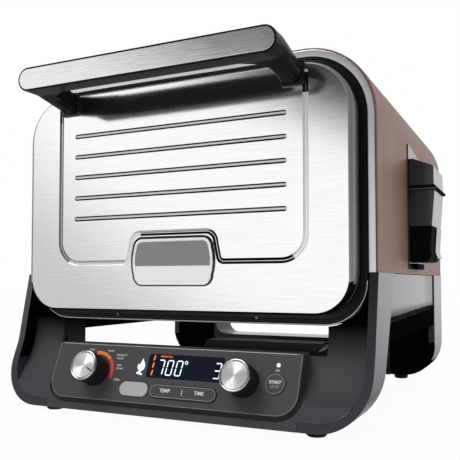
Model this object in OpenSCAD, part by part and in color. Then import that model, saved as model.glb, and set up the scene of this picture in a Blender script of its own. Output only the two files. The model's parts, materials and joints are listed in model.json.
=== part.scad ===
// Outdoor electric oven: rounded casing, drop-down door, legged base with a tilted control
// panel, and a pellet smoke box on the right wall.
// Shapes are drawn with x across, y from the door face to the rear, and z up from the floor.

/* [Body] */
// Width of the casing
body_w = 430; // [420:1:440]
// Depth of the casing, front trim included
body_depth = 433; // [425:1:445]
// Height of the casing top above the floor
body_top = 387; // [380:1:395]
// Height of the oven's underside above the floor
body_bottom = 104; // [102:1:107]
// Height of the casing's lower edge on the sides
shell_bottom = 157; // [154:1:160]
// Radius of the casing's top corners
top_corner = 74; // [68:1:80]
// Radius of the lower corners of the oven front
low_corner = 45; // [41:1:49]
// Sheet thickness of the casing
shell_wall = 1.2; // [1:0.1:1.6]
// Sheet thickness of the bottom pan
pan_wall = 1.2; // [1:0.1:1.6]
// Height of the bottom pan's side walls
pan_h = 90; // [80:1:100]
// Thickness of the rear panel
rear_t = 4; // [3:0.5:5]
// How far the rear panel lies inside the casing's rear edge
rear_recess = 3; // [2.6:0.2:4]
// Number of vent slots in the rear panel
vent_count = 6; // [4:1:7]
// Length of a vent slot
vent_len = 120; // [100:1:140]
// Height of a vent slot
vent_h = 5; // [4:0.5:6]
// Distance between vent slots
vent_pitch = 11; // [10:0.5:12]
// Distance between the two columns of vent slots
vent_gap = 24; // [20:1:28]
// Drop of the first vent slot below the casing top
vent_drop = 46; // [42:1:50]

/* [Front] */
// Distance from the door face back to the trim face
trim_setback = 25; // [24:0.5:26]
// Visible width of the steel trim
trim_w = 9.5; // [8:0.5:11]
// Depth of the steel trim
trim_depth = 9; // [7:0.5:11]
// Distance from the trim face back to the black surround
surround_setback = 2; // [1.5:0.5:3]
// Wall of the surround
surround_wall = 2; // [1.5:0.5:2.5]
// Depth of the surround's rim
surround_depth = 18; // [15:1:21]
// Distance between the two bumpers
bumper_span = 175; // [160:1:190]
// Diameter of a bumper
bumper_d = 4; // [3:0.5:5]
// Height of the bumpers above the oven's underside
bumper_up = 6.5; // [6:0.25:7]
// How far a bumper stands out of the surround
bumper_out = 1.5; // [1:0.25:2]

/* [Cavity] */
// Inside width of the cooking cavity
cavity_w = 316; // [312:1:320]
// Inside height of the cooking cavity
cavity_h = 203; // [198:1:208]
// Inside depth of the cooking cavity
cavity_depth = 366; // [360:1:372]
// Height of the cavity floor
cavity_floor = 135; // [132:1:138]
// Radius of the cavity's long edges
cavity_r = 10; // [8:1:12]
// Sheet thickness of the liner
liner_wall = 1.2; // [1:0.1:1.6]
// Thickness of the insulation blanket
blanket_t = 14; // [12:0.5:15]
// Diameter of the heating tubes
tube_d = 7; // [6:0.5:8]
// Distance from the cavity's side wall to the heating tube
tube_side = 53; // [48:1:58]
// Distance from the cavity's mouth and rear wall to the heating tube's turns
tube_turn = 70; // [64:1:76]
// Length of the heating tube's ends behind the blanket
tube_tail = 16; // [12:1:20]
// Height of the lower tube above the cavity floor
low_tube_z = 11; // [9:0.5:12]
// Drop of the upper tube below the cavity ceiling
high_tube_z = 16; // [12:0.5:20]
// Height of the rack rails above the cavity floor
rail_z = 17; // [16:0.5:19]
// Width of a rack rail
rail_w = 8; // [6:0.5:10]
// Thickness of a rack rail
rail_t = 2; // [1.5:0.5:3]
// Height of a rack rail's upright edge
rail_h = 14.5; // [13:0.5:16]
// How far the rails run past the rack
rail_over = 4; // [3:0.5:6]
// Diameter of the rack's rim wires
rack_wire = 5; // [4:0.5:6]
// Diameter of the rack's cross wires
rack_bar = 3.5; // [3:0.25:4]
// Distance from the cavity's mouth to the rack
rack_in = 14; // [12:1:18]
// Gap between the rack and the fan cover
rack_gap = 20; // [16:1:24]
// Number of cross wires
rack_bars = 12; // [8:1:14]
// Gap between the pizza stone and the cavity's side walls
stone_gap = 10; // [9:0.5:12]
// Corner radius of the pizza stone
stone_r = 12; // [8:1:16]
// Thickness of the pizza stone
stone_t = 9; // [7:0.5:11]
// Diameter of the temperature probe
probe_d = 4; // [3:0.5:5]
// Length of the probe inside the cavity
probe_len = 40; // [30:1:50]
// Distance of the probe from the cavity's side wall
probe_side = 38; // [34:1:42]
// Drop of the probe below the cavity's ceiling
probe_drop = 50; // [44:1:56]
// Length of the probe behind the blanket
probe_tail = 10; // [8:1:14]
// Diameter of the probe's nut
probe_nut_d = 10; // [9:0.5:12]
// Thickness of the probe's nut
probe_nut_t = 2.5; // [2:0.5:3]

/* [Fan] */
// Diameter of the fan
fan_d = 116; // [108:1:122]
// Number of fan blades
fan_blades = 8; // [6:1:10]
// Width of a blade along the axis
fan_w = 14; // [12:0.5:16]
// Diameter of the fan shaft
fan_shaft_d = 6; // [5:0.5:7]
// Gap between the fan and the cavity's rear wall
fan_gap = 4; // [3:0.5:5]
// Diameter of the fan's back disc
fan_disc_d = 93; // [88:1:98]
// Diameter of the fan's hub
hub_d = 22; // [20:1:24]
// Thickness of a fan blade
blade_t = 1.2; // [1:0.1:1.5]
// Diameter of the motor
motor_d = 60; // [54:1:66]
// Length of the motor
motor_len = 32; // [28:1:34]
// Length of the motor's rear boss
motor_boss = 8; // [6:0.5:10]
// Closed end of the motor's bore
motor_end = 6; // [5:0.5:7]
// Length of the motor's mounting bar
motor_bar_w = 84; // [78:1:90]
// Height of the motor's mounting bar
motor_bar_h = 18; // [16:1:20]
// Thickness of the motor's mounting bar
motor_bar_t = 2; // [1.5:0.5:3]
// Diameter of the fan cover
cover_d = 140; // [132:1:146]
// Depth of the fan cover
cover_depth = 26; // [24:0.5:28]
// Diameter of the fan cover's holes
cover_hole = 7; // [6:0.5:8]
// Distance between the fan cover's holes
cover_pitch = 13.5; // [12.5:0.5:14.5]
// Plain rim of the fan cover's face
cover_rim = 10; // [9:0.5:12]

/* [Door] */
// Gap between the surround's outline and the door at the sides
door_side = 7.2; // [6:0.2:9]
// Gap between the surround's outline and the door at the bottom
door_low = 11; // [10:0.5:12]
// Gap between the surround's outline and the door at the top
door_high = 12.2; // [11:0.2:14]
// Thickness of the door
door_t = 24; // [23:0.5:24.5]
// Radius of the door's top corners
door_top_r = 52; // [48:1:56]
// Radius of the door's lower corners
door_low_r = 40; // [36:1:44]
// Rounding of the door's front edge
door_edge = 5; // [4:0.5:6]
// Sheet thickness of the door skin
skin_wall = 1.6; // [1.4:0.1:2]
// Depth of the steel skin's sides
skin_depth = 12; // [11:0.5:13]
// Thickness of the skin's folded sides
skin_fold = 3.2; // [3:0.1:3.4]
// How far the inner panel's sides lie inside the skin's outline
liner_in = 1; // [0.5:0.25:1.2]
// Thickness of the door's inner panel
door_liner_t = 2; // [1.5:0.5:2.5]
// How far the inner panel's raised middle stands into the cavity
plug_t = 4; // [3:0.5:5]
// Gap between the raised middle and the cavity's walls
plug_gap = 4; // [3.5:0.5:5]
// Width of the seal around the opening
seal_w = 9; // [7:0.5:11]
// How far the seal reaches in over the cavity's edge
seal_in = 3; // [2:0.5:3.4]
// Number of pressed grooves
groove_count = 5; // [3:1:6]
// Length of a groove
groove_len = 261; // [240:1:270]
// Width of a groove
groove_w = 4.4; // [4:0.2:5]
// Depth of the pressed grooves and lines
groove_depth = 1; // [0.6:0.1:1.1]
// Distance between grooves
groove_pitch = 24; // [22:0.5:25]
// Distance from the top of the door to the first groove
groove_drop = 48.4; // [46:0.2:52]
// Width of the pressed border line's outline
border_w = 302; // [290:1:312]
// Distance from the bottom of the door to the border line
border_up = 53; // [50:1:56]
// Corner radius of the border line
border_r = 20; // [16:1:24]
// Width of the border line
border_line = 3; // [2.4:0.2:3.6]
// Greatest width of the name plate
badge_w = 103; // [96:1:110]
// Height of the name plate
badge_h = 54; // [50:1:58]
// Corner radius of the name plate
badge_r = 8; // [7:0.5:9]
// Thickness of the name plate
badge_t = 2; // [1.5:0.5:2.5]
// Distance from the bottom of the door to the name plate
badge_up = 28; // [25:1:31]
// Distance from the name plate to the border line above it
badge_gap = 4.5; // [3.5:0.5:6]

/* [Hinge] */
// Height of the hinge axis above the door's lower edge
hinge_up = 6; // [5.5:0.5:6.5]
// Distance from the door face back to the hinge axis
hinge_in = 13; // [12.5:0.5:13.5]
// Distance between the two hinges
hinge_span = 280; // [260:1:300]
// Thickness of a hinge lug
lug_t = 4; // [3:0.5:5]
// Radius of a hinge lug's eye
lug_r = 5; // [4.5:0.5:5.5]
// Width of a hinge lug's foot
lug_foot_w = 24; // [20:1:28]
// Thickness of a hinge lug's foot
lug_foot_t = 2; // [1.5:0.5:3]
// Length of a hinge lug behind the surround
lug_tail = 7; // [6:0.5:8]
// Diameter of a hinge pin
pin_d = 5; // [4:0.5:5.5]
// Length of a hinge pin
pin_len = 26; // [22:1:30]
// Wall of the hinge pocket's bearing blocks
block_t = 6; // [5:0.5:7]
// Clearance of the insulation above a hinge
pocket_up = 7; // [6:0.5:8]

/* [Handle] */
// Length of the handle
handle_len = 298.6; // [289:0.2:308]
// Height of the handle's front
handle_h = 25.5; // [23.5:0.5:27.5]
// Drop of the handle's centre below the casing top
handle_drop = 22.4; // [20:0.2:25]
// Distance from the door face to the handle's front
handle_reach = 74; // [68:1:78]
// Depth of the grip
grip_depth = 23; // [20:1:26]
// Width of a handle arm
arm_w = 22; // [19:1:25]
// Inset of an arm from the grip's end, top and underside
arm_in = 1; // [0.5:0.25:1.5]
// How far an arm runs into the grip
arm_sink = 6; // [5:0.5:8]
// How far an arm is shallower at the door than the grip, above and below
arm_taper = 1.25; // [0.75:0.25:1.75]
// Drop of the arm from the grip to the door
arm_drop = 10; // [8:1:12]
// Fillet between the grip and an arm
arm_fillet = 24; // [18:1:27]
// Thickness of the steel strip on the grip
strip_t = 1.2; // [1:0.1:1.5]
// Black rim left around the steel strip
strip_rim = 1.6; // [1.2:0.2:2.2]
// Thickness of the collars at the door
collar_t = 3; // [2:0.5:4]
// How far a collar stands out around its arm
collar_rim = 2; // [1.5:0.25:2.5]
// Corner radius of a collar
collar_r = 4; // [3:0.5:5]
// Shank diameter of the handle screws
handle_screw_d = 5; // [4:0.5:6]
// Length of the handle screws
handle_screw_len = 18; // [15:1:22]
// Head diameter of the handle screws
handle_head_d = 10; // [9:0.5:11]
// Height of the handle screws' heads
handle_head_t = 3; // [2.5:0.5:3.5]

/* [Base] */
// How far the base stands out past the casing on each side
base_proud = 1.5; // [1:0.25:2]
// Height of the base's underside above the floor
base_bottom = 8; // [7:0.5:9]
// Radius of the base's lower corners
base_corner = 50; // [46:1:54]
// Thickness of the legs' walls
leg_wall = 8.5; // [8:0.25:9]
// How far the web lies behind the legs' faces
web_recess = 5; // [4:0.5:5.5]
// Thickness of the web between the legs
web_t = 3.5; // [3:0.25:3.5]
// Height of the web's lower edge above the floor
web_low = 85; // [80:1:90]
// Width of the legs at the top
leg_w = 74; // [68:1:80]
// Width of a leg at the floor
leg_foot_w = 60; // [56:1:66]
// Width of a rear leg at the floor
rear_foot_w = 52; // [48:1:56]
// Height of a leg's straight foot
foot_h = 22; // [20:1:26]
// Depth of the front legs' inner walls
leg_box = 34; // [30:1:38]
// Thickness of the legs' inner walls
leg_face_t = 3.5; // [3:0.5:4]
// Gap between the legs' inner walls and the oven's underside
leg_gap = 3; // [2:0.5:4]
// Width of the ledge that carries the oven's rear
ledge_w = 16; // [14:1:18]
// How far the web runs behind the legs
web_over = 30; // [26:1:34]
// Lean of the front legs between the panel and the casing
leg_lean = 17; // [14:0.5:19]
// Inset of the leg faces from the base's side
leg_reach = 68; // [64:1:72]
// Diameter of a foot
foot_d = 20; // [18:1:22]
// Chamfer of a foot
foot_chamfer = 1.5; // [1:0.25:2]
// Distance between the feet across the base
foot_span = 318; // [314:1:322]
// Depth of the rear crossbar
cross_depth = 58; // [54:1:62]
// Corner radius of the opening above the crossbar
cross_r = 18; // [15:1:21]
// Thickness of the crossbar's uprights
cross_side = 3.5; // [3:0.5:4]
// Height of the rear crossbar's top above the floor
cross_top = 60; // [56:1:64]
// Wall of the crossbar, tray and electronics cover
cover_wall = 2.5; // [2:0.5:3]
// Distance from the base's front edge to the tray
tray_in = 9; // [8:0.5:10]
// Depth of the housing's top behind the panel
return_d = 17; // [15:0.5:19]
// Thickness of the housing's top behind the panel
return_t = 4; // [3:0.5:5]
// Width of the raised electronics cover
hump_w = 132; // [126:1:138]
// How far the raised cover stands out over the legs
hump_over = 12; // [10:0.5:14]
// Height of the raised electronics cover above the panel's top
hump_up = 9; // [8:0.5:11]
// Depth of the raised electronics cover
hump_depth = 24; // [20:1:28]
// Corner radius of the raised cover
hump_r = 8; // [5:0.5:9]
// Radius under the raised cover's outer end
hump_low_r = 10; // [8:0.5:10]

/* [Panel] */
// Width of the control panel
panel_w = 295.4; // [292:0.2:298]
// Length of the control panel along its slope
panel_len = 62.3; // [60:0.1:64]
// Height of the panel's top edge above the floor
panel_top = 78; // [76:1:80]
// Tilt of the panel from upright
panel_tilt = 22.5; // [20:0.5:24]
// Radius of the panel's lower corners
panel_corner = 22; // [18:1:26]
// Radius of the panel's upper corners
panel_top_r = 3; // [2:0.5:4]
// Thickness of the panel
panel_t = 3; // [2.5:0.5:3.5]
// Thickness of the bezel behind the panel
bezel_t = 4.5; // [4:0.5:5]
// Rim of the bezel left around its opening
bezel_rim = 12; // [11:0.5:12.5]
// Width of the channel around the panel
channel_w = 4.5; // [4:0.25:5]
// Depth of the channel around the panel
channel_d = 3; // [2.5:0.25:3.5]
// Wall of the block that carries the panel
block_wall = 2.5; // [2:0.25:3]
// Width of the cheeks beside the opening under the oven
cheek_w = 43; // [40:1:46]
// Thickness of the cheeks, front to back
cheek_t = 6; // [5:0.5:7]
// Height above the floor where the cheeks leave the panel's plane
cheek_z = 32; // [29:1:35]
// Height of the cheeks' bend above their start
cheek_bend = 24; // [21:1:27]
// How far the cheeks' upper part lies in front of the surround
cheek_out = 1.5; // [1:0.25:2]
// Distance from the panel's side to the middle of a knob
knob_in = 58.2; // [56:0.2:60]
// Distance of the knobs below the panel's top edge
knob_drop = 31.1; // [30:0.1:32]
// Diameter of a knob
knob_d = 32.4; // [30:0.2:34]
// Height of a knob above the panel
knob_h = 25; // [22:0.5:27]
// Gap between a knob and the panel
knob_gap = 0.8; // [0.6:0.1:1]
// Taper of a knob's side
knob_taper = 0.5; // [0.3:0.1:0.7]
// Thickness of a knob's metal cap
cap_t = 1.2; // [1:0.1:1.5]
// Rim of the knob left around its cap
cap_rim = 1.2; // [1:0.1:1.6]
// Diameter of a knob's spindle
spindle_d = 6; // [5:0.5:6.5]
// Width of the display window
display_w = 90; // [86:1:92]
// Height of the display window
display_h = 26; // [24:0.5:27]
// Middle of the display window across the panel
display_x = 20.5; // [19:0.5:22]
// Middle of the display window below the panel's top edge
display_drop = 21; // [20:0.5:22]
// Corner radius of the display window
display_r = 3; // [2:0.5:4]
// Thickness of the display window
window_t = 2.3; // [2:0.1:2.4]
// How far the display window lies below the panel face
window_sink = 0.2; // [0.1:0.1:0.4]
// Inset of the display module from the window's edge
module_in = 2; // [1.5:0.5:3]
// How much the display module is shorter than the window
module_short = 20; // [18:1:22]
// Length of the silver button
pill_w = 34.9; // [33:0.1:36]
// Height of the silver button
pill_h = 15; // [14:0.5:16]
// Middle of the silver button across the panel
pill_x = -35.3; // [-36:0.1:-35]
// Length of the rocker
rocker_w = 77.6; // [75:0.2:79]
// Height of the rocker
rocker_h = 14; // [13:0.5:15]
// Middle of the rocker across the panel
rocker_x = 23.6; // [23:0.1:25]
// Distance of the lower buttons below the panel's top edge
row_drop = 47.6; // [47:0.1:48.5]
// Diameter of the start button
start_d = 18.8; // [17:0.2:20]
// Distance from the panel's side to the middle of the start button
start_in = 23.9; // [23:0.1:25]
// Diameter of the indicator lens
lens_d = 4; // [3.4:0.2:5]
// Distance of the indicator lens below the panel's top edge
lens_drop = 12.5; // [11:0.5:14]
// How far the indicator lens stands out
lens_up = 0.5; // [0.3:0.1:0.7]
// Rim that holds the lens behind the panel
lens_rim = 1; // [0.8:0.1:1.2]
// How far a button stands above the panel
button_up = 1.6; // [1.3:0.1:2]
// Rim that holds a button behind the panel
button_rim = 1.2; // [1:0.1:1.5]
// Thickness of a button's rim
rim_t = 1.5; // [1.2:0.1:1.8]
// Diameter of the rocker's pivot
pivot_d = 2.4; // [2.2:0.1:2.6]
// How far the rocker's pivot stands out at its ends
pivot_out = 1.2; // [1:0.1:1.4]
// Diameter of the buttons' stems
stem_d = 5; // [4:0.5:6]
// Travel of the buttons
button_travel = 1.2; // [1:0.1:1.4]
// Thickness of the control board
board_t = 1.6; // [1.2:0.2:2]
// Distance from the panel face back to the control board
board_in = 14.4; // [13.8:0.2:15.2]
// Margin of the control board from the panel's sides
board_side = 5; // [4.8:0.1:6]
// Margin of the control board from the panel's top edge
board_high = 8; // [7:0.5:9]
// Margin of the control board from the panel's lower edge
board_low = 5; // [4.5:0.5:6]
// Diameter of the control board's standoffs
boss_d = 6; // [5:0.5:6.5]
// Distance of the standoffs from the control board's edges
boss_in = 8; // [7:0.5:10]
// Width of the rotary switches
switch_w = 13; // [12:0.5:14]
// Wall of the rotary switches' bushings
bush_wall = 2; // [1.5:0.25:2.5]
// Length of the rotary switches' bushings
bush_len = 4; // [3.5:0.5:5]
// Height of the contact pads on the control board
pad_t = 1; // [0.8:0.1:1.2]
// Gap left between a pressed button's stem and its contact pad
stem_gap = 0.8; // [0.6:0.1:1]

/* [Smoke box] */
// Distance from the door face back to the smoke box
smoke_y = 190; // [184:1:196]
// Length of the smoke box along the wall
smoke_len = 76; // [72:1:80]
// Height of the smoke box above the casing's lower edge
smoke_up = 15; // [12:1:18]
// Height of the smoke box's cup
cup_h = 42; // [39:1:45]
// Height of the smoke box's housing
housing_h = 43; // [40:1:46]
// Height of the smoke box's lid
lid_h = 37; // [34:1:40]
// How far the lid stands out from the casing
smoke_out = 33; // [31:0.5:35]
// How far the lid's lip stands out past the housing
lid_lip = 3; // [2.5:0.25:3.5]
// Height of the lid's lip
lip_h = 5; // [4:0.5:6]
// How far the lid stands out past the housing at its ends
lid_over = 2; // [1.5:0.25:2.5]
// How far the cup's foot lies inside the lid
smoke_taper = 7; // [6:0.5:8]
// How far the cup lies inside the housing at its ends
cup_in = 2; // [1.5:0.25:2.5]
// How far the cup's toe stands out
toe_out = 2.5; // [2:0.25:3]
// Height of the cup's toe
toe_h = 7; // [6:0.5:8]
// Fall of the lid's top towards its outer edge
lid_fall = 9; // [8:0.5:11]
// Wall of the smoke box
smoke_wall = 2.2; // [1.8:0.2:2.4]
// Thickness of the wall bracket
bracket_t = 1.2; // [1:0.1:1.5]
// Height of the bracket's back plate above the lid
bracket_up = 19; // [16:1:22]
// How far the bracket's back plate reaches below the cup
bracket_low = 9; // [8:0.5:10]
// How far the bracket's back plate reaches past its ears
bracket_side = 2; // [1.5:0.5:3]
// How far the stop below the cup stands out
stop_out = 8; // [7:0.5:9]
// Length of the stop below the cup
stop_len = 44; // [40:1:48]
// Height of the stop below the cup
stop_h = 7; // [6:0.5:8]
// Radius of the lid's hinge barrel
barrel_r = 4.5; // [4:0.25:5]
// Diameter of the lid's pin
lid_pin_d = 3; // [2.5:0.25:3.5]
// Thickness of the bracket's ears
ear_t = 3; // [2.5:0.5:4]
// Diameter of the smoke duct
duct_d = 22; // [20:0.5:24]
// Wall of the smoke duct
duct_wall = 1.5; // [1.2:0.1:1.8]
// How far the duct stands into the cavity
duct_out = 1; // [0.8:0.1:1.4]
// Wall of the pellet basket
basket_wall = 1; // [0.8:0.1:1.3]
// Gap between the pellet basket and the duct
basket_gap = 4; // [3:0.5:5]
// Diameter of the igniter rod
igniter_d = 6; // [5:0.5:7]
// Height of the igniter rod above the cup's floor
igniter_up = 8; // [7.5:0.5:9]
// Length of the igniter rod
igniter_len = 46; // [42:1:50]

/* [Fasteners] */
// Head diameter of the case screws
screw_head = 8; // [7:0.5:9]
// Shank diameter of the case screws
screw_d = 4; // [3:0.5:4.5]
// Height of the case screws' heads
screw_head_t = 2.2; // [1.8:0.2:2.6]
// Length of the case screws' shanks
screw_len = 8; // [7:0.5:10]
// Distance of the rear screws from the casing's sides
screw_inset = 20; // [18:1:22]
// Height of the lower rear screws above the casing's lower edge
screw_up = 30; // [27:1:33]
// Outer diameter of the cord gland
gland_d = 20; // [18:0.5:22]
// Bore of the cord gland
gland_bore = 9; // [8:0.5:10]
// Flange of the cord gland past its body
gland_flange = 3; // [2:0.5:4]
// Length of the gland inside the rear panel
gland_len = 6; // [5:0.5:8]
// Distance of the gland from the casing's side
gland_inset = 90; // [82:1:98]
// Height of the gland above the casing's lower edge
gland_up = 12; // [10:1:14]

/* [Hidden] */
$fn = 48;
arc_steps = 12;
edge_steps = 3;
tube_sides = 10;
tube_legs = 4;
eps = 0.01;
over = 1;
seat = 0.1;
fit = 0.3;
run = 0.05;
loose = 0.5;

half_w = body_w / 2;
trim_y = trim_setback;
shell_y = trim_y + trim_depth;
rear_y = trim_y + body_depth;
surround_y = trim_y + surround_setback;
surround_in_y = surround_y + surround_wall;
surround_back = surround_y + surround_depth;
surround_hw = half_w - trim_w - fit;
surround_top = body_top - trim_w - fit;
surround_r = top_corner - trim_w - fit;
bumper_z = body_bottom + bumper_up;
rear_in_y = rear_y - rear_recess - rear_t;
rear_out_y = rear_in_y + rear_t;
inside_back = rear_in_y - fit;
gland_x = half_w - gland_inset;
gland_z = shell_bottom + gland_up;

liner_y = surround_in_y + seat;
cavity_back = liner_y + cavity_depth;
cavity_top = cavity_floor + cavity_h;
cavity_mid = cavity_floor + cavity_h / 2;
liner_low = cavity_floor - liner_wall;
blanket_y = surround_back + loose;
blanket_in = liner_wall + fit;
blanket_back = cavity_back + blanket_in + blanket_t;
low_tube = cavity_floor + low_tube_z;
high_tube = cavity_top - high_tube_z;
tube_x = cavity_w / 2 - tube_side;
tube_pitch = 2 * tube_x / (tube_legs - 1);
tube_end = blanket_back + tube_tail;
rail_top = cavity_floor + rail_z + rail_t;
rack_hw = cavity_w / 2 - loose;
stone_w = cavity_w - 2 * stone_gap;
stone_len = cavity_depth - rack_in - 2 * rack_wire - rack_gap - cover_depth;
rack_y0 = liner_y + rack_in;
rack_y1 = rack_y0 + stone_len + 2 * rack_wire;
stone_z = rail_top + rack_wire + 2 * seat;
probe_x = cavity_w / 2 - probe_side;
probe_z = cavity_top - probe_drop;

cover_back = cavity_back - seat;
fan_back = cover_back - fan_gap;
fan_front = fan_back - fan_w;
motor_y = blanket_back + fit;
motor_back = motor_y + motor_len;

door_hw = surround_hw - door_side;
door_z0 = body_bottom + door_low;
door_z1 = surround_top - door_high;
plug_w = cavity_w - 2 * plug_gap;
plug_h = cavity_h - 2 * plug_gap;
hinge_x = hinge_span / 2;
hinge_y = hinge_in;
hinge_z = door_z0 + hinge_up;
pocket_w = pin_len + 2 * loose + 2 * over;
pocket_top = hinge_z + lug_r + pocket_up;
slot_w = lug_t + 2 * loose;
seal_back = surround_y - fit;
groove_z = door_z1 - groove_drop;
border_z = door_z0 + border_up;
badge_mid = door_z0 + badge_up + badge_h / 2;

handle_z = body_top - handle_drop;
handle_hw = handle_len / 2;
handle_back = -handle_reach + grip_depth;
arm_x = handle_hw - (arm_w + arm_in) / 2;
screw_z = handle_z - arm_drop;

base_hw = half_w + base_proud;
leg_in = base_hw - leg_wall;
web_out = base_hw - web_recess;
tub_x = base_hw - leg_reach;
leg_bottom_y = panel_y(base_bottom, -panel_t);
leg_knee_y = panel_y(panel_top, -panel_t);
leg_top_y = leg_knee_y + leg_lean;
leg_rear = inside_back;
leg_high = body_bottom - leg_gap;
foot_x = foot_span / 2;
foot_front = leg_bottom_y + leg_foot_w / 2;
foot_rear = leg_rear - rear_foot_w / 2;
cross_y = leg_rear - cross_depth;
ledge_x = tub_x + ledge_w / 2;
ledge_y = leg_rear - cross_depth / 2;

bezel_h = panel_t + seat;
board_h = -board_in;
housing_y = panel_y(panel_top, -bezel_h) + return_d;
block_hw = panel_w / 2 - over;
window_hw = leg_in - cheek_w;
cheek_y = surround_y - cheek_out;
cheek_high = shell_bottom - leg_gap;
box_y = cheek_y + cheek_t + fit;
tray_y = leg_bottom_y + tray_in;
hump_y = housing_y + fit;
hump_back = hump_y + hump_depth;
hump_x1 = tub_x + hump_over;
hump_x0 = hump_x1 - hump_w;
hump_foot = panel_w / 2 - bezel_rim;
hump_top = panel_top + hump_up;

knob_x = panel_w / 2 - knob_in;
start_x = panel_w / 2 - start_in;
switch_top = -bezel_h - bush_len;
spindle_end = board_h + bush_wall + loose;
pivot_h = -panel_t - fit - pivot_d / 2;
stem_end = board_h + pad_t + button_travel + stem_gap;
board_x = panel_w / 2 - board_side;
boss_x = board_x - boss_d / 2 - fit;

smoke_low = shell_bottom + smoke_up;
smoke_mid = smoke_low + cup_h;
smoke_rim = smoke_mid + housing_h;
smoke_high = smoke_rim + lid_h;
smoke_x = half_w + seat;
smoke_y1 = smoke_y + smoke_len;
plate_x = smoke_x + bracket_t + seat;
lid_out = half_w + smoke_out;
lid_body = lid_out - lid_lip;
axis_x = plate_x + barrel_r + fit;
axis_z = smoke_high - barrel_r;
lid_y0 = smoke_y - lid_over;
lid_y1 = smoke_y1 + lid_over;
duct_y = smoke_y + smoke_len / 2;
duct_z = smoke_mid + housing_h / 2;
duct_in = cavity_w / 2 - duct_out;
basket_in = cup_in + smoke_wall + loose;
basket_z0 = smoke_low + smoke_wall + seat;
basket_z1 = duct_z - duct_d / 2 - basket_gap;
basket_x0 = plate_x + smoke_wall + loose;
basket_x1 = box_out(smoke_low) - smoke_wall - loose;
igniter_x = (basket_x0 + basket_x1) / 2;
igniter_z = basket_z0 + igniter_up;

x_low = -base_hw;
x_high = lid_out;
y_low = -handle_reach;
y_high = rear_y;

// Outlines
function arc(cx, cy, r, a0, a1) = [for (i = [0 : arc_steps])
  let(a = a0 + (a1 - a0) * i / arc_steps) [cx + r * cos(a), cy + r * sin(a)]];
// Curve from p to r that is drawn towards q
function bend(p, q, r) = [for (i = [0 : arc_steps])
  let(t = i / arc_steps) (1 - t) * (1 - t) * p + 2 * t * (1 - t) * q + t * t * r];
function low_corners(hw, z0, r) = r > 0
  ? concat(arc(-hw + r, z0 + r, r, 180, 270), arc(hw - r, z0 + r, r, 270, 360))
  : [[-hw, z0], [hw, z0]];
function arch(hw, z0, z1, r_top, r_low) =
  concat(arc(hw - r_top, z1 - r_top, r_top, 0, 90), arc(-hw + r_top, z1 - r_top, r_top, 90, 180),
    low_corners(hw, z0, r_low));
function body_arch(inset) =
  arch(half_w - inset, shell_bottom, body_top - inset, top_corner - inset, 0);
function surround_arch(inset) =
  arch(surround_hw - inset, body_bottom + inset, surround_top - inset, surround_r - inset,
    low_corner - inset);
function door_arch(inset) =
  arch(door_hw - inset, door_z0 + inset, door_z1 - inset, door_top_r - inset, door_low_r - inset);
function reverse(list) = [for (i = [len(list) - 1 : -1 : 0]) list[i]];
// y of the plane that lies h above the panel face, at height z
function panel_y(z, h) = (z - panel_top) * tan(panel_tilt) - h / cos(panel_tilt);

module along_y(y0, y1) {
  translate([0, y1, 0]) rotate([90, 0, 0]) linear_extrude(y1 - y0) children();
}
module along_x(x0, x1) {
  translate([x0, 0, 0]) rotate([90, 0, 90]) linear_extrude(x1 - x0) children();
}
module box(x0, x1, y0, y1, z0, z1) {
  translate([x0, y0, z0]) cube([x1 - x0, y1 - y0, z1 - z0]);
}
module rod_x(x0, x1, y, z, d) {
  translate([x0, y, z]) rotate([0, 90, 0]) cylinder(d = d, h = x1 - x0);
}
module rod_y(x, y0, y1, z, d) {
  translate([x, y0, z]) rotate([-90, 0, 0]) cylinder(d = d, h = y1 - y0);
}
module both_sides() {
  children();
  mirror([1, 0, 0]) children();
}
module round_rect(w, h, r) {
  polygon(concat(arc(w / 2 - r, h / 2 - r, r, 0, 90), arc(-w / 2 + r, h / 2 - r, r, 90, 180),
    arc(-w / 2 + r, -h / 2 + r, r, 180, 270), arc(w / 2 - r, -h / 2 + r, r, 270, 360)));
}
module pill_shape(w, h) {
  round_rect(w, h, h / 2 - eps);
}
// Rounded rectangle around the middle of the cavity
module mouth(w, h, r) {
  translate([0, cavity_mid]) round_rect(w, h, r);
}
// Panel frame: x across, y up the slope from the top edge, z out of the panel face
module on_panel() {
  translate([0, 0, panel_top]) rotate([90 - panel_tilt, 0, 0]) children();
}
module panel_slab(x0, x1, s0, s1, h0, h1) {
  on_panel() box(x0, x1, s0, s1, h0, h1);
}
module panel_disc(x, s, h0, h1, d) {
  on_panel() translate([x, s, h0]) cylinder(d = d, h = h1 - h0);
}

// Casing
module outer_shell() {
  color([0.50, 0.29, 0.21]) difference() {
    along_y(shell_y, rear_y) polygon(body_arch(0));
    along_y(shell_y - over, rear_y + over) polygon(body_arch(shell_wall));
    box(-half_w + shell_wall, half_w - shell_wall, shell_y - over, rear_y + over,
      shell_bottom - over, shell_bottom + top_corner);
    rod_x(half_w - 2 * shell_wall, half_w + over, duct_y, duct_z, duct_d + 2 * fit);
  }
}

module front_trim() {
  color([0.78, 0.78, 0.77]) difference() {
    along_y(trim_y, shell_y - seat) polygon(body_arch(0));
    along_y(trim_y - over, shell_y) polygon(body_arch(trim_w));
    box(-half_w + trim_w, half_w - trim_w, trim_y - over, shell_y, shell_bottom - over,
      shell_bottom + over);
  }
}

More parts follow.
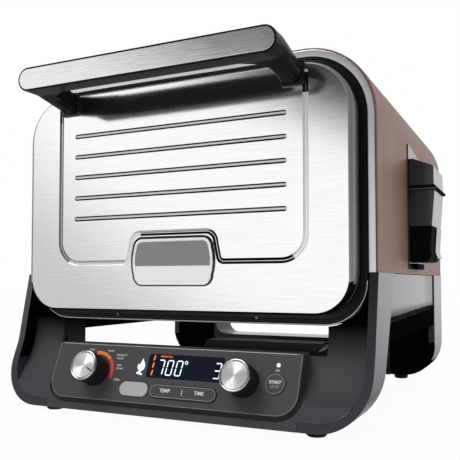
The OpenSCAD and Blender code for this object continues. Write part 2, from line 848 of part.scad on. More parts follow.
module door_surround() {
  color([0.05, 0.05, 0.055]) difference() {
    along_y(surround_y, surround_back) polygon(surround_arch(0));
    along_y(surround_in_y, surround_back + over) polygon(surround_arch(surround_wall));
    along_y(surround_y - over, surround_back) mouth(cavity_w, cavity_h, cavity_r);
    both_sides() rod_y(bumper_span / 2, surround_y - over, surround_in_y + over, bumper_z,
      bumper_d - 2 * seat);
    both_sides() box(hinge_x - lug_t / 2 - seat, hinge_x + lug_t / 2 + seat, surround_y - over,
      surround_in_y + over, hinge_z - lug_r - seat, hinge_z + lug_r + seat);
  }
}

module surround_bumpers() {
  color([0.75, 0.75, 0.75]) both_sides() {
    rod_y(bumper_span / 2, surround_y - bumper_out, surround_y - seat / 2, bumper_z, bumper_d);
    rod_y(bumper_span / 2, surround_y - bumper_out / 2, surround_in_y, bumper_z,
      bumper_d - 4 * seat);
  }
}

module cavity_liner() {
  color([0.33, 0.33, 0.34]) difference() {
    along_y(liner_y, cavity_back + liner_wall)
      mouth(cavity_w + 2 * liner_wall, cavity_h + 2 * liner_wall, cavity_r + liner_wall);
    along_y(liner_y - over, cavity_back) mouth(cavity_w, cavity_h, cavity_r);
    wall_holes();
  }
}

// Holes for what passes through the liner and the blanket
module wall_holes() {
  y0 = cavity_back - over;
  y1 = blanket_back + over;
  for (x = [-tube_x, tube_x], z = [low_tube, high_tube]) rod_y(x, y0, y1, z, tube_d + 2 * fit);
  rod_y(probe_x, y0, y1, probe_z, probe_d + 2 * fit);
  rod_y(0, y0, y1, cavity_mid, fan_shaft_d + 2 * loose);
  rod_x(duct_in - over, half_w, duct_y, duct_z, duct_d + 2 * fit);
}

module insulation() {
  out = blanket_in + blanket_t;
  color([0.86, 0.84, 0.78]) difference() {
    along_y(blanket_y, blanket_back) mouth(cavity_w + 2 * out, cavity_h + 2 * out, cavity_r + out);
    along_y(blanket_y - over, cavity_back + blanket_in)
      mouth(cavity_w + 2 * blanket_in, cavity_h + 2 * blanket_in, cavity_r + blanket_in);
    wall_holes();
  }
}

module bottom_pan() {
  wall_top = body_bottom + pan_h;
  color([0.12, 0.12, 0.125]) difference() {
    along_y(surround_back + seat, inside_back) pan_outline(0, wall_top);
    along_y(surround_back, inside_back + over) pan_outline(pan_wall, wall_top + over);
    both_sides() ledge_hole(body_bottom + pan_wall);
  }
}
module pan_outline(inset, top) {
  polygon(concat([[surround_hw - inset, top], [-surround_hw + inset, top]],
    low_corners(surround_hw - inset, body_bottom + inset, low_corner - inset)));
}
module ledge_hole(top) {
  translate([ledge_x, ledge_y, top - screw_len - over])
    cylinder(d = screw_d + 2 * fit, h = screw_len + 2 * over);
}

module rear_panel() {
  inset = shell_wall + fit;
  y0 = rear_in_y - over;
  y1 = rear_out_y + over;
  color([0.10, 0.10, 0.105]) difference() {
    along_y(rear_in_y, rear_out_y) {
      polygon(arch(half_w - inset, shell_bottom + fit, body_top - inset, top_corner - inset, 0));
      polygon(arch(surround_hw, body_bottom, shell_bottom + low_corner, low_corner / 2, low_corner));
    }
    for (i = [0 : vent_count - 1], x = [-1, 1]) along_y(y0, y1)
      translate([x * (vent_len + vent_gap) / 2, body_top - vent_drop - i * vent_pitch])
        pill_shape(vent_len, vent_h);
    rod_y(gland_x, y0, y1, gland_z, gland_d + 2 * seat);
    for (p = rear_screws()) rod_y(p[0], y0, y1, p[1], screw_d + 2 * fit);
  }
}
function rear_screws() = [for (x = [-1, 1], z = [shell_bottom + screw_up, body_top - top_corner])
  [x * (half_w - screw_inset), z]];

module case_screws() {
  color([0.2, 0.2, 0.2]) {
    for (p = rear_screws()) {
      rod_y(p[0], rear_out_y + seat / 2, rear_out_y + screw_head_t, p[1], screw_head);
      rod_y(p[0], rear_out_y - screw_len, rear_out_y + over, p[1], screw_d);
    }
    both_sides() translate([ledge_x, ledge_y, body_bottom + pan_wall]) {
      translate([0, 0, -screw_len]) cylinder(d = screw_d, h = screw_len + over);
      translate([0, 0, seat / 2]) cylinder(d = screw_head, h = screw_head_t);
    }
  }
}

module cord_gland() {
  y0 = rear_in_y - gland_len;
  color([0.04, 0.04, 0.04]) difference() {
    union() {
      rod_y(gland_x, y0, rear_y - fit, gland_z, gland_d);
      rod_y(gland_x, y0, rear_in_y - seat, gland_z, gland_d + 2 * gland_flange);
    }
    rod_y(gland_x, y0 - over, rear_y + over, gland_z, gland_bore);
  }
}

// Cavity
// Serpentine of four legs joined by half turns, both ends running out at the rear
function tube_path(front, back) = concat(
  [[-tube_x, tube_end]],
  arc(-tube_pitch, front, tube_pitch / 2, 180, 360),
  reverse(arc(0, back, tube_pitch / 2, 0, 180)),
  arc(tube_pitch, front, tube_pitch / 2, 180, 360),
  [[tube_x, tube_end]]);
function heading(path, i) = let(
  a = path[max(i - 1, 0)],
  b = path[min(i + 1, len(path) - 1)],
  d = b - a) d / norm(d);
function ring(path, i, z, d) = let(t = heading(path, i))
  [for (k = [0 : tube_sides - 1]) let(a = 360 * k / tube_sides)
    [path[i][0] + t[1] * cos(a) * d / 2, path[i][1] - t[0] * cos(a) * d / 2, z + sin(a) * d / 2]];
module bent_tube(path, z, d) {
  n = len(path);
  points = [for (i = [0 : n - 1]) each ring(path, i, z, d)];
  sides = [for (i = [0 : n - 2], k = [0 : tube_sides - 1])
    let(a = i * tube_sides + k, b = i * tube_sides + (k + 1) % tube_sides)
      each [[a, b, b + tube_sides], [a, b + tube_sides, a + tube_sides]]];
  first = [for (k = [tube_sides - 1 : -1 : 0]) k];
  last = [for (k = [0 : tube_sides - 1]) (n - 1) * tube_sides + k];
  polyhedron(points, concat(sides, [first, last]));
}
module heater(z) {
  color([0.25, 0.25, 0.26])
    bent_tube(tube_path(liner_y + tube_turn, cavity_back - tube_turn), z, tube_d);
}
module upper_element() {
  heater(high_tube);
}
module lower_element() {
  heater(low_tube);
}

module temperature_probe() {
  color([0.6, 0.6, 0.6]) {
    rod_y(probe_x, cavity_back - probe_len, blanket_back + probe_tail, probe_z, probe_d);
    rod_y(probe_x, cavity_back - probe_nut_t, cavity_back - seat, probe_z, probe_nut_d);
  }
}

module rack_rails() {
  x1 = cavity_w / 2 - seat;
  y0 = rack_y0 - rail_over;
  y1 = rack_y1 + rail_over;
  z0 = rail_top - rail_t;
  color([0.55, 0.55, 0.55]) both_sides() {
    box(cavity_w / 2 - rail_w, x1, y0, y1, z0, rail_top);
    box(cavity_w / 2 - rail_t, x1, y0, y1, z0, z0 + rail_h);
  }
}

module wire_rack() {
  rim_x = rack_hw - rail_t - rack_wire / 2;
  z = rail_top + seat + rack_wire / 2;
  color([0.7, 0.7, 0.7]) {
    both_sides() rod_y(rim_x, rack_y0, rack_y1, z, rack_wire);
    for (y = [rack_y0 + rack_wire / 2, rack_y1 - rack_wire / 2])
      rod_x(-rim_x, rim_x, y, z, rack_wire - eps);
    for (i = [1 : rack_bars])
      rod_y(-rim_x + 2 * rim_x * i / (rack_bars + 1), rack_y0, rack_y1, z, rack_bar);
  }
}

module pizza_stone() {
  color([0.72, 0.64, 0.54]) translate([0, rack_y0 + rack_wire + stone_len / 2, stone_z])
    linear_extrude(stone_t) round_rect(stone_w, stone_len, stone_r);
}

module fan_motor() {
  color([0.6, 0.6, 0.58]) difference() {
    union() {
      rod_y(0, motor_y, motor_back - motor_boss, cavity_mid, motor_d);
      rod_y(0, motor_y, motor_back, cavity_mid, motor_d / 2);
      along_y(motor_y, motor_y + motor_bar_t)
        translate([0, cavity_mid]) pill_shape(motor_bar_w, motor_bar_h);
    }
    rod_y(0, motor_y - over, motor_back - motor_end, cavity_mid, fan_shaft_d + 2 * run);
  }
}

function ring_holes(r) = floor(2 * PI * r / cover_pitch);
module fan_cover() {
  front = cover_back - cover_depth;
  color([0.45, 0.45, 0.46]) difference() {
    rod_y(0, front, cover_back, cavity_mid, cover_d);
    rod_y(0, front + liner_wall, cover_back + over, cavity_mid, cover_d - 2 * liner_wall);
    for (r = [cover_pitch : cover_pitch : cover_d / 2 - cover_rim], i = [1 : ring_holes(r)])
      let(a = 360 * i / ring_holes(r))
        rod_y(r * cos(a), front - over, front + liner_wall + over, cavity_mid + r * sin(a),
          cover_hole);
  }
}

module fan_rotor() {
  color([0.62, 0.62, 0.63]) {
    rod_y(0, fan_front, fan_back, cavity_mid, hub_d);
    rod_y(0, fan_front, motor_back - motor_end - over, cavity_mid, fan_shaft_d);
    rod_y(0, fan_back - blade_t, fan_back, cavity_mid, fan_disc_d);
    for (i = [1 : fan_blades])
      translate([0, 0, cavity_mid]) rotate([0, 360 * i / fan_blades, 0])
        box(-blade_t / 2, blade_t / 2, fan_front, fan_back - blade_t / 2, hub_d / 2 - over, fan_d / 2);
  }
}

// Hinge
module hinge_lugs() {
  color([0.35, 0.35, 0.36]) both_sides() difference() {
    union() {
      rod_x(hinge_x - lug_t / 2, hinge_x + lug_t / 2, hinge_y, hinge_z, 2 * lug_r);
      box(hinge_x - lug_t / 2, hinge_x + lug_t / 2, hinge_y, surround_in_y + lug_tail,
        hinge_z - lug_r + over, hinge_z + lug_r - over);
      box(hinge_x - lug_foot_w / 2, hinge_x + lug_foot_w / 2, surround_in_y + seat / 2,
        surround_in_y + lug_foot_t, hinge_z - lug_r - lug_foot_t, liner_low - loose);
    }
    rod_x(hinge_x - lug_t, hinge_x + lug_t, hinge_y, hinge_z, pin_d + 2 * run);
  }
}

module hinge_pins() {
  block_x = pin_len / 2 - block_t / 2 - over;
  color([0.6, 0.6, 0.6]) both_sides() {
    rod_x(hinge_x - pin_len / 2, hinge_x + pin_len / 2, hinge_y, hinge_z, pin_d);
    for (x = [hinge_x - block_x, hinge_x + block_x])
      box(x - block_t / 2, x + block_t / 2, skin_wall + seat, door_t - door_liner_t - seat,
        door_z0 + skin_fold + seat, hinge_z + lug_r);
  }
}

// Door
module door_blank(inset, y0, y1) {
  along_y(y0, y1) polygon(door_arch(inset));
}
module door_skin() {
  color([0.78, 0.78, 0.77]) difference() {
    hull() for (i = [0 : edge_steps]) let(a = 90 * i / edge_steps)
      door_blank(door_edge * (1 - sin(a)), door_edge * (1 - cos(a)), skin_depth);
    door_blank(skin_fold, skin_wall, skin_depth + over);
    grooves();
    border_groove();
    both_sides() hinge_slot();
    both_sides() rod_y(arm_x, -over, skin_wall + over, screw_z, handle_screw_d + 2 * fit);
  }
}
module grooves() {
  for (i = [0 : groove_count - 1]) along_y(-over, groove_depth)
    translate([0, groove_z - i * groove_pitch]) pill_shape(groove_len, groove_w);
}
// Pressed line: up both sides, along the bottom and over the name plate
module border_groove() {
  top = groove_z + groove_pitch;
  along_y(-over, groove_depth) difference() {
    border_area(0, top);
    border_area(border_line, top + over);
  }
}
module border_area(inset, top) {
  grow = badge_gap + inset;
  difference() {
    polygon(concat([[border_w / 2 - inset, top], [-border_w / 2 + inset, top]],
      low_corners(border_w / 2 - inset, border_z + inset, border_r - inset)));
    translate([0, badge_mid])
      round_rect(badge_w + 2 * grow, badge_h + 2 * grow, badge_r + badge_gap);
  }
}
module hinge_slot() {
  box(hinge_x - slot_w / 2, hinge_x + slot_w / 2, hinge_y - lug_r - loose, surround_in_y,
    door_z0 - over, hinge_z + lug_r + loose);
}

module door_liner() {
  color([0.3, 0.3, 0.31]) difference() {
    union() {
      door_blank(liner_in, skin_depth + seat, door_t);
      along_y(door_t - door_liner_t, door_t + plug_t) mouth(plug_w, plug_h, cavity_r);
    }
    door_blank(liner_in + door_liner_t, skin_depth, door_t - door_liner_t);
    along_y(skin_depth, door_t + plug_t - door_liner_t)
      mouth(plug_w - 2 * door_liner_t, plug_h - 2 * door_liner_t, cavity_r);
    both_sides() hinge_slot();
  }
}

module door_insulation() {
  back = door_t - door_liner_t - fit;
  color([0.86, 0.84, 0.78]) difference() {
    door_blank(skin_fold + loose, skin_wall + loose, back);
    both_sides() box(hinge_x - pocket_w / 2, hinge_x + pocket_w / 2, 0, door_t, door_z0, pocket_top);
    both_sides() rod_y(arm_x, 0, skin_wall + handle_head_t + over, screw_z, handle_head_d + 2 * over);
  }
}

module door_gasket() {
  color([0.15, 0.15, 0.15]) difference() {
    along_y(door_t + seat / 2, seal_back)
      mouth(cavity_w + 2 * seal_w, cavity_h + 2 * seal_w, cavity_r + seal_w);
    along_y(door_t - over, seal_back + over)
      mouth(cavity_w - 2 * seal_in, cavity_h - 2 * seal_in, cavity_r);
    both_sides() hinge_slot();
  }
}

module badge_plate() {
  in_x = badge_w / 2 - badge_r;
  in_z = badge_h / 2 - badge_r;
  color([0.7, 0.7, 0.7]) along_y(-badge_t, -seat / 2) hull() {
    for (x = [-1, 1], z = [-1, 1])
      translate([x * (in_x - badge_r / 2), badge_mid + z * in_z]) circle(badge_r);
    for (x = [-1, 1]) translate([x * in_x, badge_mid]) circle(badge_r);
  }
}

// Handle
module grip_outline(inset) {
  translate([0, handle_z]) pill_shape(handle_len - 2 * inset, handle_h - 2 * inset);
}
module handle_grip() {
  color([0.05, 0.05, 0.055]) difference() {
    union() {
      along_y(-handle_reach + seat, handle_back) grip_outline(0);
      both_sides() handle_arm();
    }
    along_y(-handle_reach - over, -handle_reach + strip_t + seat) grip_outline(strip_rim);
    both_sides() rod_y(arm_x, -handle_screw_len, over, screw_z, handle_screw_d + 2 * seat);
  }
}
module handle_arm() {
  root = -collar_t - seat;
  x0 = handle_hw - arm_w;
  x1 = handle_hw - arm_in;
  sink = handle_back - arm_sink;
  grip_r = handle_h / 2 - arm_in;
  root_r = handle_h / 2 - arm_taper;
  intersection() {
    translate([0, 0, screw_z - handle_h]) linear_extrude(2 * handle_h + arm_drop) difference() {
      polygon([[x1, sink], [x1, root], [x0, root], [x0, handle_back + arm_fillet],
        [x0 - arm_fillet, handle_back], [x0 - arm_fillet, sink]]);
      translate([x0 - arm_fillet, handle_back + arm_fillet]) circle(arm_fillet);
    }
    along_x(0, handle_hw) polygon([[sink - over, handle_z - grip_r], [handle_back, handle_z - grip_r],
      [root, screw_z - root_r], [0, screw_z - root_r], [0, screw_z + root_r], [root, screw_z + root_r],
      [handle_back, handle_z + grip_r], [sink - over, handle_z + grip_r]]);
  }
}
module handle_strip() {
  color([0.8, 0.8, 0.8]) along_y(-handle_reach, -handle_reach + strip_t)
    grip_outline(strip_rim + seat);
}
module handle_collars() {
  w = arm_w - arm_in + 2 * collar_rim;
  h = handle_h - 2 * arm_taper + 2 * collar_rim;
  color([0.85, 0.85, 0.85]) both_sides() difference() {
    along_y(-collar_t, -seat / 2) translate([arm_x, screw_z]) round_rect(w, h, collar_r);
    rod_y(arm_x, -collar_t - over, over, screw_z, handle_screw_d + 2 * fit);
  }
}
module handle_screws() {
  color([0.5, 0.5, 0.5]) both_sides() {
    rod_y(arm_x, -handle_screw_len + over, skin_wall + over, screw_z, handle_screw_d);
    rod_y(arm_x, skin_wall + seat / 2, skin_wall + handle_head_t, screw_z, handle_head_d);
  }
}

// Base
// Wall that runs down the side and turns in under the base
function tub_wall(out, in) = let(c = base_bottom + base_corner) concat(
  [[base_hw - out, shell_bottom]],
  reverse(arc(base_hw - base_corner, c, base_corner - out, 270, 360)),
  [[tub_x + fit, base_bottom + out], [tub_x + fit, base_bottom + in]],
  arc(base_hw - base_corner, c, base_corner - in, 270, 360),
  [[base_hw - in, shell_bottom]]);
module front_leg() {
  foot_back = leg_bottom_y + leg_foot_w;
  polygon([[leg_top_y, shell_bottom], [leg_top_y + leg_w, shell_bottom],
    [foot_back, base_bottom + foot_h], [foot_back, base_bottom - over],
    [leg_bottom_y, base_bottom - over], [leg_knee_y, panel_top]]);
}
module rear_leg() {
  polygon([[leg_rear - leg_w, shell_bottom], [leg_rear, shell_bottom], [leg_rear, base_bottom - over],
    [leg_rear - rear_foot_w, base_bottom - over], [leg_rear - leg_w, cross_top]]);
}
module side_frame() {
  color([0.07, 0.07, 0.075]) difference() {
    union() {
      intersection() {
        along_y(leg_bottom_y - over, leg_rear) polygon(tub_wall(0, leg_wall));
        along_x(tub_x, base_hw + over) {
          front_leg();
          rear_leg();
        }
      }
      box(web_out - web_t, web_out, leg_top_y + web_over, leg_rear - web_over, web_low, shell_bottom);
      front_leg_box();
      intersection() {
        along_y(cross_y, cross_y + leg_face_t) leg_fill();
        along_x(tub_x, base_hw) rear_leg();
      }
      box(tub_x + fit, tub_x + ledge_w, cross_y, leg_rear, leg_high - leg_face_t, leg_high);
    }
    ledge_hole(body_bottom + pan_wall);
  }
}
// Walls inside a front leg, seen through the opening under the oven
module front_leg_box() {
  y1 = box_y + leg_box;
  box(window_hw, window_hw + leg_face_t, box_y, y1, cross_top, leg_high);
  box(window_hw, leg_in + over, y1 - leg_face_t, y1, cross_top, leg_high);
}
// Area between the rear leg's wall and the opening under the oven
module leg_fill() {
  inset = leg_wall / 2;
  intersection() {
    polygon(concat([[base_hw - inset, shell_bottom], [-base_hw, shell_bottom]],
      low_corners(base_hw - inset, base_bottom + inset, base_corner - inset)));
    translate([tub_x + fit, base_bottom]) square([leg_reach, leg_high - base_bottom]);
  }
}
module right_side_frame() {
  side_frame();
}
module left_side_frame() {
  mirror([1, 0, 0]) side_frame();
}

module front_bezel() {
  color([0.09, 0.09, 0.095]) difference() {
    union() {
      intersection() {
        along_y(-handle_reach, surround_back) {
          bezel_area(cheek_z, 0);
          translate([-block_hw, base_bottom]) square([2 * block_hw, panel_top - base_bottom]);
        }
        panel_slab(-base_hw, base_hw, -2 * panel_len, panel_len, -bezel_h - bezel_t, -bezel_h);
      }
      box(-block_hw + seat, block_hw - seat, panel_y(panel_top, -bezel_h) + over, housing_y,
        panel_top - return_t, panel_top - seat);
      both_sides() along_x(block_hw - block_wall, block_hw - 2 * seat) block_side();
      both_sides() cheek();
    }
    panel_slab(-panel_w / 2 + bezel_rim, panel_w / 2 - bezel_rim, -panel_len + bezel_rim / 2,
      -bezel_rim / 2, -bezel_h - bezel_t - over, over);
    on_panel() translate([0, 0, -bezel_h - channel_d]) linear_extrude(channel_d + over) channel();
  }
}
module bezel_area(top, extra) {
  inset = leg_wall + fit + extra;
  intersection() {
    union() {
      polygon(concat([[base_hw - inset, shell_bottom], [-base_hw + inset, shell_bottom]],
        low_corners(base_hw - inset, base_bottom + inset, base_corner - inset)));
      translate([-tub_x, base_bottom]) square([2 * tub_x, shell_bottom]);
    }
    translate([-base_hw, 0]) square([2 * base_hw, top]);
  }
}
// End wall of the block that carries the panel
module block_side() {
  h = -bezel_h - seat;
  top = panel_top - 2 * seat;
  low = cheek_z + seat;
  back = housing_y - seat;
  polygon([[panel_y(low, h), low], [back, low], [back, top], [panel_y(top, h), top]]);
}
// Shadow channel along the panel's sides and lower edge
module channel() {
  difference() {
    intersection() {
      fascia_outline(-channel_w);
      translate([-panel_w, -2 * panel_len]) square([2 * panel_w, 2 * panel_len - channel_w]);
    }
    fascia_outline(over - seat);
  }
}
// Hollow face that runs back from the panel's plane and up to the oven's lower corner
module cheek() {
  low = [panel_y(cheek_z, -bezel_h - seat), cheek_z];
  face = bend(low, [cheek_y, cheek_z + cheek_bend], [cheek_y, body_bottom]);
  front = concat([[panel_y(cheek_z - over, -bezel_h - seat), cheek_z - over]], face,
    [[cheek_y, cheek_high]]);
  intersection() {
    along_x(block_hw - over, base_hw)
      polygon(concat(front, reverse([for (p = front) [p[0] + cheek_t, p[1]]])));
    along_y(-handle_reach, surround_back) cheek_area();
  }
}
module cheek_area() {
  difference() {
    intersection() {
      bezel_area(cheek_high, seat);
      union() {
        translate([0, base_bottom]) square([base_hw, panel_top - return_t - base_bottom]);
        translate([window_hw, base_bottom]) square([cheek_w, shell_bottom]);
      }
    }
    polygon(surround_arch(-over));
  }
}

module base_tray() {
  hw = block_hw - block_wall - fit;
  color([0.06, 0.06, 0.06]) {
    box(-hw, hw, tray_y, housing_y, base_bottom, base_bottom + cover_wall);
    box(-hw, hw, housing_y - cover_wall, housing_y, base_bottom, panel_top - return_t - seat);
  }
}

module electronics_cover() {
  z0 = base_bottom + seat;
  color([0.05, 0.05, 0.055]) difference() {
    along_y(hump_y, hump_back) polygon(concat(
      arc(hump_x0 + hump_r, hump_top - hump_r, hump_r, 90, 180),
      [[hump_x0, z0], [hump_foot, z0], [hump_foot, hump_top - hump_low_r]],
      arc(hump_x1 - hump_low_r, hump_top, hump_low_r, 270, 360)));
    box(hump_x0 + cover_wall, hump_foot - cover_wall, hump_y + cover_wall, hump_back - cover_wall,
      z0 - over, hump_top - hump_r);
  }
}

// Bar with two uprights that frame the opening at the rear
module rear_crossbar() {
  in = tub_x - cross_side;
  mid = cross_top + cross_r;
  color([0.06, 0.06, 0.065]) difference() {
    along_y(cross_y, leg_rear) polygon(concat(
      [[-tub_x, base_bottom], [tub_x, base_bottom], [tub_x, leg_high], [in, leg_high]],
      reverse(arc(in - cross_r, mid, cross_r, 270, 360)),
      reverse(arc(-in + cross_r, mid, cross_r, 180, 270)),
      [[-in, leg_high], [-tub_x, leg_high]]));
    box(-tub_x + cover_wall, tub_x - cover_wall, cross_y + cover_wall, leg_rear - cover_wall,
      base_bottom - over, cross_top - cover_wall);
  }
}

module feet() {
  color([0.03, 0.03, 0.03]) for (x = [-foot_x, foot_x], y = [foot_front, foot_rear])
    translate([x, y, 0]) {
      cylinder(d1 = foot_d - 2 * foot_chamfer, d2 = foot_d, h = foot_chamfer);
      translate([0, 0, foot_chamfer - eps]) cylinder(d = foot_d, h = base_bottom - foot_chamfer + eps);
    }
}

// Control panel
module fascia_outline(inset) {
  hw = panel_w / 2 - inset;
  low = -panel_len + inset;
  r = panel_corner - inset;
  polygon(concat(arc(hw - panel_top_r, -inset - panel_top_r, panel_top_r, 0, 90),
    arc(-hw + panel_top_r, -inset - panel_top_r, panel_top_r, 90, 180),
    arc(-hw + r, low + r, r, 180, 270), arc(hw - r, low + r, r, 270, 360)));
}
module control_fascia() {
  color([0.08, 0.08, 0.085]) difference() {
    on_panel() translate([0, 0, -panel_t]) linear_extrude(panel_t) fascia_outline(0);
    for (x = [-knob_x, knob_x]) panel_hole(x, -knob_drop, spindle_d + 2 * fit);
    panel_cut(display_x, -display_drop) round_rect(display_w, display_h, display_r);
    panel_cut(pill_x, -row_drop) pill_shape(pill_w + 2 * fit, pill_h + 2 * fit);
    panel_cut(rocker_x, -row_drop) pill_shape(rocker_w + 2 * loose, rocker_h + 2 * loose);
    panel_hole(start_x, -knob_drop, start_d + 2 * fit);
    panel_hole(start_x, -lens_drop, lens_d + 2 * seat);
  }
}
module panel_cut(x, s) {
  on_panel() translate([x, s, -panel_t - over]) linear_extrude(panel_t + 2 * over) children();
}
module panel_hole(x, s, d) {
  panel_disc(x, s, -panel_t - over, over, d);
}
module display_window() {
  color([0.03, 0.04, 0.07]) on_panel()
    translate([display_x, -display_drop, -window_sink - window_t]) linear_extrude(window_t)
      round_rect(display_w - 2 * seat, display_h - 2 * seat, display_r);
}
module display_module() {
  half = display_w / 2 - module_in;
  tall = display_h / 2 - module_in;
  color([0.1, 0.2, 0.15]) panel_slab(display_x - half, display_x + half - module_short,
    -display_drop - tall, -display_drop + tall, board_h + seat, -panel_t - fit);
}
module control_board() {
  saddle = rocker_h / 2 + fit;
  color([0.05, 0.3, 0.15]) {
    panel_slab(-board_x, board_x, -panel_len + board_low, -board_high, board_h - board_t, board_h);
    for (x = [-boss_x, boss_x], s = [-board_high - boss_in, -panel_len + board_low + boss_in])
      panel_disc(x, s, board_h - eps, -bezel_h - bezel_t - seat, boss_d);
    panel_disc(pill_x, -row_drop, board_h - eps, board_h + pad_t, stem_d);
    panel_disc(start_x, -knob_drop, board_h - eps, board_h + pad_t, stem_d);
    for (x = [-1, 1])
      panel_disc(rocker_x + x * rocker_w / 3, -row_drop, board_h - eps, board_h + pad_t, stem_d);
    for (s = [-row_drop - saddle - pivot_out + fit, -row_drop + saddle])
      panel_slab(rocker_x - pivot_d, rocker_x + pivot_d, s, s + pivot_out - fit, board_h - eps,
        pivot_h - pivot_d / 2 - seat);
  }
}
module rotary(x) {
  half = switch_w / 2;
  color([0.5, 0.5, 0.5]) difference() {
    union() {
      panel_slab(x - half, x + half, -knob_drop - half, -knob_drop + half, board_h + seat, switch_top);
      panel_disc(x, -knob_drop, switch_top - eps, -panel_t - seat, spindle_d + 2 * bush_wall);
    }
    panel_disc(x, -knob_drop, board_h + bush_wall, 0, spindle_d + 2 * run);
  }
}
module mode_switch() {
  rotary(-knob_x);
}
module set_encoder() {
  rotary(knob_x);
}
module power_lens() {
  color([0.9, 0.9, 0.9]) {
    panel_disc(start_x, -lens_drop, -panel_t - rim_t, lens_up, lens_d);
    panel_disc(start_x, -lens_drop, -panel_t - rim_t, -panel_t - seat, lens_d + 2 * lens_rim);
  }
}

// Knob with its spindle; the cap sits in a recess in its face
module knob(x) {
  color([0.04, 0.04, 0.04]) difference() {
    union() {
      on_panel() translate([x, -knob_drop, knob_gap])
        cylinder(d1 = knob_d + 2 * knob_taper, d2 = knob_d, h = knob_h - knob_gap);
      panel_disc(x, -knob_drop, spindle_end, knob_gap + over, spindle_d);
    }
    panel_disc(x, -knob_drop, knob_h - cap_t - seat, knob_h + over, knob_d - 2 * cap_rim);
  }
}
module knob_cap(x) {
  color([0.75, 0.75, 0.75])
    panel_disc(x, -knob_drop, knob_h - cap_t, knob_h, knob_d - 2 * cap_rim - 2 * seat);
}
module mode_knob() {
  knob(-knob_x);
}
module mode_cap() {
  knob_cap(-knob_x);
}
module set_knob() {
  knob(knob_x);
}
module set_cap() {
  knob_cap(knob_x);
}

// Button held behind the panel by its rim: first child the face, second child the rim
module button_body(x, s) {
  low = -panel_t - fit - rim_t;
  on_panel() translate([x, s, low]) {
    linear_extrude(button_up - low) children(0);
    linear_extrude(rim_t) children(1);
  }
  panel_disc(x, s, stem_end, low + eps, stem_d);
}
module smoke_button() {
  color([0.72, 0.72, 0.72]) button_body(pill_x, -row_drop) {
    pill_shape(pill_w, pill_h);
    pill_shape(pill_w + 2 * button_rim, pill_h + button_rim);
  }
}
module time_rocker() {
  ends = rocker_h / 2 + pivot_out;
  color([0.12, 0.12, 0.125]) {
    on_panel() translate([rocker_x, -row_drop, pivot_h]) {
      linear_extrude(button_up - pivot_h) pill_shape(rocker_w, rocker_h);
      translate([0, -ends, 0]) rotate([-90, 0, 0]) cylinder(d = pivot_d, h = 2 * ends);
    }
    for (x = [-1, 1])
      panel_disc(rocker_x + x * rocker_w / 3, -row_drop, stem_end, pivot_h + eps, stem_d);
  }
}
module start_button() {
  color([0.12, 0.12, 0.125]) button_body(start_x, -knob_drop) {
    circle(d = start_d);
    circle(d = start_d + 2 * button_rim);
  }
}

// Smoke box
module smoke_bracket() {
  y0 = lid_y0 - ear_t - bracket_side;
  y1 = lid_y1 + ear_t + bracket_side;
  z0 = smoke_low - bracket_low;
  color([0.05, 0.05, 0.055]) difference() {
    union() {
      along_x(smoke_x, smoke_x + bracket_t)
        polygon([[y0, z0], [y1, z0], [y1, smoke_high], [y0, smoke_high + bracket_up]]);
      for (y = [lid_y0 - ear_t - fit, lid_y1 + fit]) {
        rod_y(axis_x, y, y + ear_t, axis_z, 2 * barrel_r);
        box(smoke_x, axis_x, y, y + ear_t, axis_z - barrel_r, axis_z + barrel_r);
      }
      box(smoke_x, smoke_x + stop_out, duct_y - stop_len / 2, duct_y + stop_len / 2, z0, z0 + stop_h);
    }
    rod_y(axis_x, y0, y1, axis_z, lid_pin_d + 2 * seat);
    rod_x(smoke_x - over, smoke_x + bracket_t + over, duct_y, duct_z, duct_d + 2 * fit);
  }
}
// x of the outer face of the cup and housing at height z
function box_out(z) = lid_body - smoke_taper * (smoke_rim - z) / (smoke_rim - smoke_low);
module smoke_cup() {
  toe_x = box_out(smoke_low) + toe_out;
  toe_top = smoke_low + 2 * toe_h;
  color([0.04, 0.04, 0.045]) difference() {
    along_y(smoke_y + cup_in, smoke_y1 - cup_in) polygon([[plate_x, smoke_low],
      [box_out(smoke_low) - toe_out / 2, smoke_low], [toe_x, smoke_low + toe_h],
      [box_out(toe_top), toe_top], [box_out(smoke_mid), smoke_mid - seat], [plate_x, smoke_mid - seat]]);
    along_y(smoke_y + cup_in + smoke_wall, smoke_y1 - cup_in - smoke_wall)
      polygon([[plate_x + smoke_wall, smoke_low + smoke_wall],
        [box_out(smoke_low) - smoke_wall, smoke_low + smoke_wall],
        [box_out(smoke_mid) - smoke_wall, smoke_mid + over], [plate_x + smoke_wall, smoke_mid + over]]);
  }
}
module smoke_housing() {
  color([0.16, 0.17, 0.19]) difference() {
    along_y(smoke_y, smoke_y1) polygon([[plate_x, smoke_mid], [box_out(smoke_mid), smoke_mid],
      [box_out(smoke_rim), smoke_rim], [plate_x, smoke_rim]]);
    along_y(smoke_y + smoke_wall, smoke_y1 - smoke_wall)
      polygon([[plate_x + smoke_wall, smoke_mid - over],
        [box_out(smoke_mid) - smoke_wall, smoke_mid - over],
        [box_out(smoke_rim) - smoke_wall, smoke_rim + over], [plate_x + smoke_wall, smoke_rim + over]]);
    rod_x(plate_x - over, plate_x + smoke_wall + over, duct_y, duct_z, duct_d + 2 * fit);
  }
}
module pellet_basket() {
  y0 = smoke_y + basket_in;
  y1 = smoke_y1 - basket_in;
  color([0.4, 0.4, 0.4]) difference() {
    box(basket_x0, basket_x1, y0, y1, basket_z0, basket_z1);
    box(basket_x0 + basket_wall, basket_x1 - basket_wall, y0 + basket_wall, y1 - basket_wall,
      basket_z0 + basket_wall, basket_z1 + over);
    rod_y(igniter_x, y0 - over, y0 + basket_wall + over, igniter_z, igniter_d + 2 * loose);
  }
}
module igniter() {
  y0 = smoke_y + cup_in + smoke_wall + seat;
  color([0.8, 0.78, 0.72]) rod_y(igniter_x, y0, y0 + igniter_len, igniter_z, igniter_d);
}
